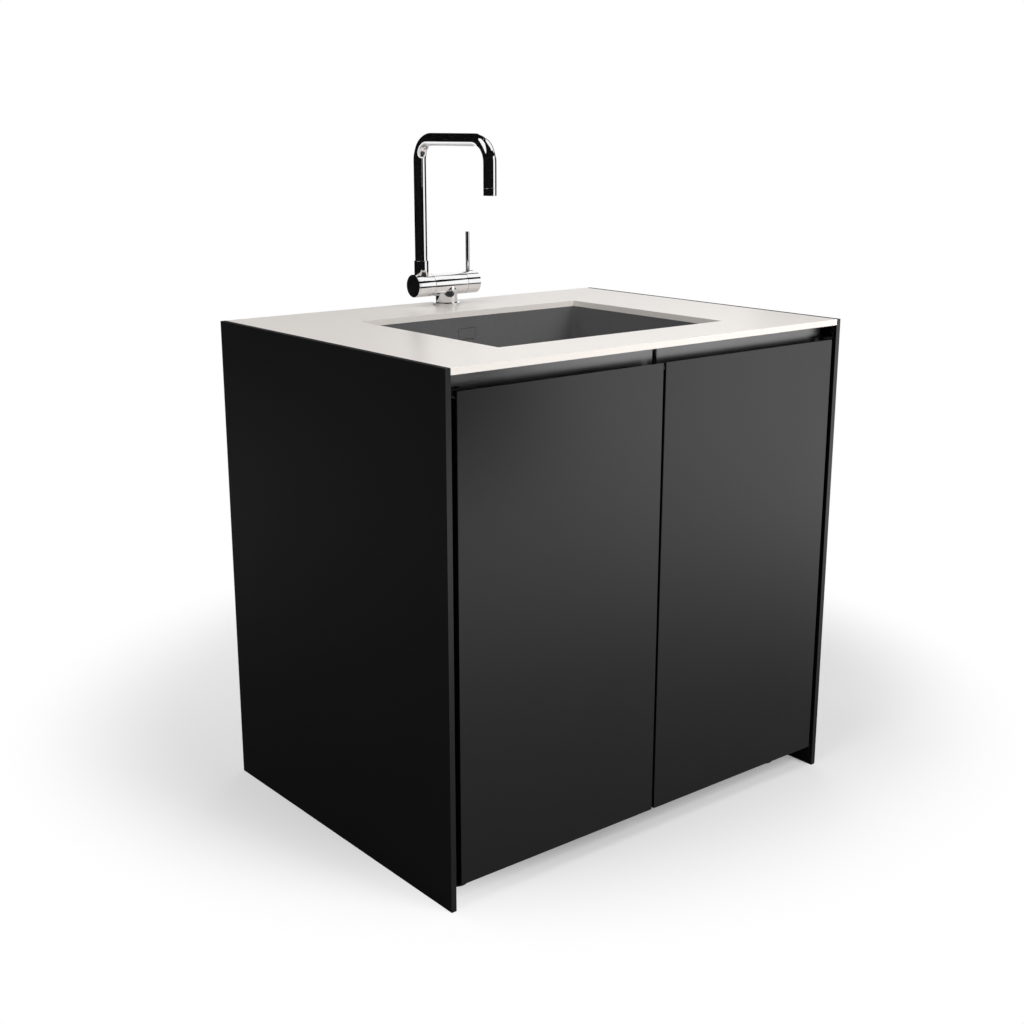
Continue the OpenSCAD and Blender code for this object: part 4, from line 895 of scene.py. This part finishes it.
def ribbed(piece, material, count, ringRadius, ribRadius, length, lift, place, turn=(0, 0, 0)):
    grown(piece, ribTree, {
        "Count": count, "Ring radius": ringRadius * mm, "Rib radius": ribRadius * mm,
        "Rib length": length * mm, "Lift": lift * mm, "Place": Vector(place) * mm, "Turn": turn,
        "Material": material})
    shadeByAngle(piece.data, smoothAngle)
    return piece


trapValues = {
    "cupPlace": (0, -24.5, 440), "cupRadius": 37, "cupHeight": 71, "cupRibs": 12,
    "seatRadius": 35.05, "seatDepth": 12.3, "cupBore": 32, "cupFloor": 3,
    # place, axis, outer radius, bore, height
    "nuts": (
        ((0, -24.5, 598), upright, 27, 22.05, 20),
        ((0, 26.5, 535), acrossY, 28, 23.05, 16),
        ((-14, 27.5, 657), acrossY, 17, 14.05, 12),
    ),
    "nutRibs": 8,
}


def makeTrap(v):
    r, h = v["cupRadius"], v["cupHeight"]
    seat, step, bore, floor = v["seatRadius"], h - v["seatDepth"], v["cupBore"], v["cupFloor"]
    outline = [(0, 0), (r - 8, 0), (r - 2.5, 1.2), (r, 6), (r, h - 1), (r - 0.8, h), (seat, h), (seat, step),
               (bore, step), (bore, floor), (0, floor)]
    cup = turned("trapCup", [outline], v["cupPlace"], upright, greyPlastic, 0.8)
    standFor(ribbed(cup, greyPlastic, v["cupRibs"], r - 0.5, 2, h - 14, 7, v["cupPlace"]), "trap_cup")
    pieces = []
    for place, axis, radius, bore, height in v["nuts"]:
        ring = [(bore, 0), (radius - 1, 0), (radius, 1.2), (radius, height - 1.2), (radius - 1, height),
                (bore, height)]
        nut = turned("wasteNut", [ring], place, axis, blackPlastic, 0.6)
        turn = toBack if axis == acrossY else (0, 0, 0)
        pieces.append(ribbed(nut, blackPlastic, v["nutRibs"], radius - 0.5, 2, height - 2, 1, place, turn))
    first = pieces[0]
    first.name = "wasteNuts"
    for other in pieces[1:]:
        joinInto(first, other)
    standFor(first, "waste_nuts")


makeTrap(trapValues)

footValues = {
    "baseRadius": 20, "baseHeight": 9, "ringRadius": 14, "ringHeight": 5, "stemRadius": 5, "top": 46,
    "threadPitch": 1.75, "threadDepth": 0.7, "notches": 28,
}


# adjustable foot: base with a notched rim, a ring to grip and a threaded stem
def makeFoot(node, v):
    low, high = boxOf(node)
    place = ((low.x + high.x) / 2, (low.y + high.y) / 2, 0)
    r, h = v["baseRadius"], v["baseHeight"]
    ring = h + v["ringHeight"]
    grip, stem, top = v["ringRadius"], v["stemRadius"], v["top"]
    outline = [(0, 0), (r - 0.4, 0), (r, 0.4), (r, 3.6), (r - 0.7, 4.2), (r - 0.7, h - 0.9), (r - 1.8, h),
               (grip, h), (grip, ring - 1), (grip - 1, ring), (stem, ring)]
    z = ring + 0.6
    while z + v["threadPitch"] < top - 0.5:
        outline += [(stem, z), (stem - v["threadDepth"], z + v["threadPitch"] / 2)]
        z += v["threadPitch"]
    outline += [(stem, top - 0.8), (stem - 0.8, top), (0, top)]
    foot = turned(node + ".turned", [outline], place, upright, blackPlastic, 0.25, 64)
    ribbed(foot, blackPlastic, v["notches"], r - 0.85, 0.85, h - 4.8, 4, place)
    standFor(foot, node)


for node in ("foot_front_left", "foot_front_right", "foot_back_left", "foot_back_right"):
    makeFoot(node, footValues)
print("trap and feet made")


# Geometry Nodes tree: three rings of round holes through a turned body
def makeHoleTree():
    tree, given = newMeshTree("roundHoles", Hole_radius=0.002, Hole_sides=12, Ring_step=0.01,
                              Holes_per_ring=6, Depth=0.006, Place=(0, 0, 0))
    rings = [addNode(tree, "GeometryNodeMeshCircle", {
        "Vertices": times(tree, given["Holes per ring"], k),
        "Radius": times(tree, given["Ring step"], k)})[0] for k in (1.0, 2.0, 3.0)]
    joined = addNode(tree, "GeometryNodeJoinGeometry", {0: rings})[0]
    drill = cylinder(tree, given["Hole sides"], given["Hole radius"], given["Depth"])
    drills = addNode(tree, "GeometryNodeInstanceOnPoints", {"Points": joined, "Instance": drill})[0]
    real = addNode(tree, "GeometryNodeRealizeInstances", {0: shifted(tree, drills, given["Place"])})[0]
    cut = addNode(tree, "GeometryNodeMeshBoolean", {"Mesh 1": given["Geometry"], "Mesh 2": real},
                  operation="DIFFERENCE", solver="EXACT")["Mesh"]
    return finishTree(tree, given, [cut])


holeTree = makeHoleTree()
drainValues = {
    "centre": (0, -24.5), "basinFloor": 690, "bowlFloor": 643.3, "rimSeat": 670, "bowlRadius": 40,
    "rimRadius": 42.3, "wall": 1.5, "holeRadius": 2, "ringStep": 10, "holesPerRing": 6, "neckBore": 42.6,
    "lipRadius": 57, "lip": 1.6, "neck": 20,
}


def makeDrain(v):
    x, y = v["centre"]
    z = v["bowlFloor"]
    r, wall = v["bowlRadius"], v["wall"]
    rim = v["rimSeat"] - z
    edge, inner = v["rimRadius"], r - wall
    cup = [(0, 0), (r - 3, 0), (r, 3), (r, rim), (edge, rim), (edge, rim + 2.2), (edge - 0.8, rim + 3),
           (inner, rim + 3), (inner, 3.6), (inner - 2.2, wall), (0, wall)]
    basket = turned("strainerBasket", [cup], (x, y, z), upright, brushedSteel, 0.3)
    grown(basket, holeTree, {
        "Hole radius": v["holeRadius"] * mm, "Ring step": v["ringStep"] * mm,
        "Holes per ring": v["holesPerRing"], "Place": Vector((x, y, z + wall / 2)) * mm,
        "Material": brushedSteel})
    shadeByAngle(basket.data, smoothAngle)
    knob = [(0, 1.2), (3, 1.2), (3, 46.7), (8.2, 46.7), (9, 47.5), (9, 54.7), (11, 55.2), (11, 57.6),
            (9.6, 58.7), (0, 58.7)]
    joinInto(basket, turned("strainerKnob", [knob], (x, y, z), upright, brushedSteel, 0.4, 64))
    standFor(basket, "strainer_basket")
    bore, edge, lip = v["neckBore"], v["lipRadius"], v["lip"]
    flange = [(bore, -v["neck"]), (bore + 2.35, -v["neck"]), (bore + 2.35, 0), (edge, 0), (edge - 0.4, 0.9),
              (edge - 2, lip), (bore + 3, lip), (bore + 0.6, 0.7), (bore, -0.8)]
    piece = turned("wasteFlange", [flange], (x, y, v["basinFloor"]), upright, brushedSteel, 0.3, 128)
    standFor(piece, "waste_flange")


makeDrain(drainValues)


# Geometry Nodes tree: a tube along a path, ribbed along its length, with its own map "length"
def makeHoseTree():
    tree, given = newMeshTree("suppleTube", Radius=0.0055, Bend_radius=0.02, Step=0.003, Rib_pitch=0.004,
                              Rib_depth=0.0, Sides=24)
    even = addNode(tree, "GeometryNodeResampleCurve", {
        "Curve": bentPath(tree, given, 12), "Length": given["Step"]}, mode="LENGTH")[0]
    along = addNode(tree, "GeometryNodeSplineParameter")["Length"]
    wave = mathNode(tree, "PINGPONG", mathNode(tree, "DIVIDE", along, given["Rib pitch"]), 0.5)
    deep = mathNode(tree, "DIVIDE", given["Rib depth"], given["Radius"])
    slim = inverse(tree, times(tree, times(tree, wave, 2.0), deep))
    ridged = addNode(tree, "GeometryNodeSetCurveRadius", {"Curve": even, "Radius": slim})[0]
    turns = mathNode(tree, "DIVIDE", along, times(tree, given["Radius"], 2 * math.pi))

    def stored(geometry, name, value, kind="FLOAT", domain="POINT"):
        return addNode(tree, "GeometryNodeStoreNamedAttribute", {
            "Geometry": geometry, "Name": name, "Value": value}, data_type=kind, domain=domain)[0]

    ring = addNode(tree, "GeometryNodeCurveArc", {
        "Resolution": mathNode(tree, "ADD", given["Sides"], 1.0), "Radius": given["Radius"],
        "Sweep Angle": 2 * math.pi}, mode="RADIUS")[0]
    around = addNode(tree, "GeometryNodeSplineParameter")["Factor"]
    tube = addNode(tree, "GeometryNodeCurveToMesh", {
        "Curve": stored(ridged, "alongTube", turns), "Profile Curve": stored(ring, "aroundTube", around),
        "Fill Caps": False, "Scale": addNode(tree, "GeometryNodeInputRadius")[0]})[0]
    flat = combined(tree, attributeNode(tree, "aroundTube"), attributeNode(tree, "alongTube"))
    mapped = stored(tube, "length", flat, "FLOAT2", "CORNER")
    shut = addNode(tree, "GeometryNodeMergeByDistance", {"Geometry": mapped, "Distance": 0.00002})[0]
    return finishTree(tree, given, [shut])


hoseTree = makeHoseTree()


def makeTube(name, points, material, sizes):
    piece = pathPiece(name, points, material)
    grown(piece, hoseTree, {**sizes, "Material": material})
    with edited(piece.data) as shape:
        bmesh.ops.holes_fill(shape, edges=shape.edges, sides=0)
        bmesh.ops.recalc_face_normals(shape, faces=shape.faces)
    for label in ("aroundTube", "alongTube"):
        if label in piece.data.attributes:
            piece.data.attributes.remove(piece.data.attributes[label])
    shadeByAngle(piece.data, 60)
    return piece


hoseValues = {
    "centre": (24, 300), "side": 7, "run": 63, "top": 823, "low": 480, "radius": 5.5, "steps": 40,
    "ferrule": 18, "stubTop": 903.7, "nutSeat": 454,
}


# braided hose in an S from the tap's shank to a stop valve, with its ferrules and union nut
def makeHose(node, side, v):
    x, y = v["centre"]
    route = []
    for k in range(v["steps"] + 1):
        t = k / v["steps"]
        route.append((x + side * (v["side"] + v["run"] * (1 - math.cos(math.pi * t)) / 2), y,
                      v["top"] + (v["low"] - v["top"]) * t))
    hose = makeTube(node + ".braided", route, hoseBraid, {
        "Radius": v["radius"] * mm, "Bend radius": 0.001, "Step": 0.004, "Sides": 24})
    upper = (x + side * v["side"], y, v["top"])
    lower = (x + side * (v["side"] + v["run"]), y, v["nutSeat"])
    end, stub = v["ferrule"], v["stubTop"] - v["top"]
    sleeve = [(0, -0.3), (5.9, -0.3), (6.5, 0.6), (6.5, 3), (6.1, 3.6), (6.1, 5), (6.5, 5.6), (6.5, 8),
              (6.1, 8.6), (6.1, 10), (6.5, 10.6), (6.5, end), (5, end), (5, stub), (0, stub)]
    joinInto(hose, turned("ferrule", [sleeve], upper, upright, brushedSteel, 0.3, 48))
    tail = [(0, 9.2), (5, 9.2), (7, 12), (7, 17), (6.6, 17.6), (6.6, 19), (7, 19.6), (7, 22), (6.6, 22.6),
            (6.6, 24), (7, 24.6), (6.4, 26.3), (0, 26.3)]
    joinInto(hose, turned("tailFerrule", [tail], lower, upright, brushedSteel, 0.3, 48))
    nut = [(9.05, 0), (12.2, 0), (13, 0.8), (13, 11.2), (12.2, 12), (6, 12), (6, 9.2), (9.05, 9.2)]
    joinInto(hose, turned("unionNut", [nut], lower, upright, brushedSteel, 0.3, 6))
    standFor(hose, node)


makeHose("cold_hose", 1, hoseValues)
makeHose("hot_hose", -1, hoseValues)

overflowValues = {
    "route": ((-14, 188, 854.5), (-14, 213, 854.5), (-14, 213, 657), (-14, 37.5, 657)),
    "radius": 12, "bendRadius": 20, "ribPitch": 4, "ribDepth": 1.3, "plateRadius": 16, "plate": 4,
}


# corrugated pipe from the overflow to the waste cup
def makeOverflow(v):
    pipe = makeTube("overflowPipe", v["route"], blackPlastic, {
        "Radius": v["radius"] * mm, "Bend radius": v["bendRadius"] * mm, "Step": 0.001, "Sides": 28,
        "Rib pitch": v["ribPitch"] * mm, "Rib depth": v["ribDepth"] * mm})
    plate = tubeOutline(0, v["plateRadius"], 0.2, v["plate"])
    joinInto(pipe, turned("overflowPlate", [plate], v["route"][0], acrossY, blackPlastic, 0.5, 64))
    standFor(pipe, "overflow_pipe")


makeOverflow(overflowValues)
print("hoses and overflow made")

floorValues = {
    "size": 12.0,
    "colour": (0.80, 0.80, 0.80),
    "seen": (0.66, 0.66, 0.66),
    "glow": 0.26,  # lightens the shadow where the floor is looked at
    # the floor's colour in reflections, darker than its own colour: painted shade
    "mirrored": (0.22, 0.22, 0.22),
    # distances between which it fades into the white backdrop, as seen and as mirrored
    "seenFade": (0.72, 1.15),
    "seenCentre": (0.25, 0.35, 0.0),
    "mirroredFade": (0.8, 3.2),
}


# pale floor, brighter where it is looked at and darker where it is mirrored, a painted shade in its
# reflections
def makeFloor(v):
    half = v["size"] / 2
    mesh = bpy.data.meshes.new("floor")
    corners = [(-half, -half, 0), (half, -half, 0), (half, half, 0), (-half, half, 0)]
    mesh.from_pydata(corners, [], [(0, 1, 2, 3)])
    material, tree = newMaterial("paleFloor")
    tree.nodes.remove(tree.nodes["Principled BSDF"])
    rays = addNode(tree, "ShaderNodeLightPath")
    looked = mathNode(tree, "MAXIMUM", rays["Is Camera Ray"], rays["Is Transmission Ray"])
    colour = mixColour(tree, looked, rgba(v["colour"]), rgba(v["seen"]))
    # darker as mirrored: painted shade
    colour = mixColour(tree, rays["Is Glossy Ray"], colour, rgba(v["mirrored"]))
    plain = addNode(tree, "ShaderNodeBsdfDiffuse", {"Color": colour})[0]
    white = addNode(tree, "ShaderNodeEmission", {"Color": (1, 1, 1, 1), "Strength": 1.0})[0]
    share = 0.0
    for ray, centre, fade in ((looked, v["seenCentre"], v["seenFade"]),
                              (rays["Is Glossy Ray"], (0, 0, 0), v["mirroredFade"])):
        away = vectorNode(tree, "DISTANCE", ownPlace(tree), centre)["Value"]
        faded = times(tree, ramp(tree, away, *fade, kind="SMOOTHSTEP"), ray)
        share = mathNode(tree, "ADD", faded, share, clamp=True)
    glow = addNode(tree, "ShaderNodeEmission", {
        "Color": (1, 1, 1, 1), "Strength": times(tree, looked, v["glow"])})[0]
    lifted = addNode(tree, "ShaderNodeAddShader", {0: plain, 1: glow})[0]
    both = addNode(tree, "ShaderNodeMixShader", {0: share, 1: lifted, 2: white})[0]
    setInputs(tree, tree.nodes["Material Output"], {"Surface": both})
    floor = newPiece("floor", mesh, material)


makeFloor(floorValues)

worldValues = {"light": 0.06, "seen": 1.0}


def makeWorld(v):
    world = bpy.data.worlds.new("studio")
    scene.world = world
    world.use_nodes = True
    tree = world.node_tree
    rays = addNode(tree, "ShaderNodeLightPath")
    looked = mathNode(tree, "MAXIMUM", rays["Is Camera Ray"], rays["Is Glossy Ray"])
    looked = mathNode(tree, "MAXIMUM", looked, rays["Is Transmission Ray"])
    strength = ramp(tree, looked, 0.0, 1.0, v["light"], v["seen"])
    setInputs(tree, tree.nodes["Background"], {"Color": (1, 1, 1, 1), "Strength": strength})


makeWorld(worldValues)

lampValues = {
    # name: place, height it aims at on the unit's middle line, size, power
    "key": ((0.61, -2.28, 1.85), 0.4, (1.3, 1.3), 50),
    "frontLow": ((0.77, -2.87, 0.42), 0.3, (1.0, 0.8), 14),
    "backLow": ((-0.77, 2.87, 0.42), 0.3, (1.0, 0.8), 70),
    "left": ((-2.28, -0.61, 1.85), 0.4, (1.3, 1.3), 24),
    "backRight": ((1.67, 1.67, 1.85), 0.4, (1.3, 1.3), 9),
    "topLeft": ((-0.97, 0.56, 2.78), 0.4, (1.3, 1.3), 17),
    "topRight": ((0.97, -0.56, 2.78), 0.4, (1.3, 1.3), 12),
}


def makeLamps(values):
    for name, (place, aim, size, power) in values.items():
        light = bpy.data.lights.new(name, "AREA")
        light.shape = "RECTANGLE"
        light.size, light.size_y = size
        light.energy = power
        lamp = bpy.data.objects.new(name, light)
        scene.collection.objects.link(lamp)
        lamp.location = place
        lamp.visible_glossy = False
        lamp.visible_camera = False
        lamp.rotation_mode = "QUATERNION"
        lamp.rotation_quaternion = (Vector((0, 0, aim)) - Vector(place)).to_track_quat("-Z", "Y")


makeLamps(lampValues)

cardValues = {
    "centre": (0.0, 0.3, 1.0),
    "radius": 2.75,
    "step": 2,
    "rise": (-16, 88),  # lowest and highest elevation of the dome
    "colour": (0.006, 0.006, 0.006),
    # dark fields: from and to in degrees from the front towards the right, lowest and highest elevation
    "fields": (
        (-180, 24, -15, 90),
        (24, 59, 23, 40),
        (59, 92, -15, 25),
        (92, 118, -15, 7),
        (74, 104, 25, 90),
        (24, 88, 72, 90),
        (100, 150, 60, 90),
        (146, 180, 11, 90),
    ),
    # bright windows in them: middle and half size, to the right and to the front, in degrees from straight up
    "windows": ((-46, -3, 25, 23), (30, 18, 27, 19)),
}


# black studio cards in a dome round the tap, which its bright metal mirrors as dark bands
def makeCards(v):
    step = v["step"]
    square = ((0, 0), (step, 0), (step, step), (0, step))

    def dark(around, rise):
        angle = math.radians(around)
        right, front = (90 - rise) * math.sin(angle), (90 - rise) * math.cos(angle)
        if any(math.hypot((right - x) / wide, (front - y) / deep) < 1 for x, y, wide, deep in v["windows"]):
            return False
        return any(a <= around <= b and c <= rise <= d for a, b, c, d in v["fields"])

    def corner(around, rise):
        around, rise = math.radians(around), math.radians(rise)
        way = Vector((math.sin(around) * math.cos(rise), -math.cos(around) * math.cos(rise), math.sin(rise)))
        return Vector(v["centre"]) + way * v["radius"]

    mesh = bpy.data.meshes.new("darkCards")
    with edited(mesh) as shape:
        for around in range(-180, 180, step):
            for rise in range(*v["rise"], step):
                if dark(around + step / 2, rise + step / 2):
                    shape.faces.new([shape.verts.new(corner(around + x, rise + y)) for x, y in square])
        bmesh.ops.remove_doubles(shape, verts=shape.verts, dist=0.0001)
    material, tree = newMaterial("darkCard")
    tree.nodes.remove(tree.nodes["Principled BSDF"])
    matte = addNode(tree, "ShaderNodeBsdfDiffuse", {"Color": rgba(v["colour"])})[0]
    setInputs(tree, tree.nodes["Material Output"], {"Surface": matte})
    cards = newPiece("darkCards", mesh, material)
    cards.visible_camera = False
    cards.visible_diffuse = False
    cards.visible_shadow = False


makeCards(cardValues)
print("stage made")
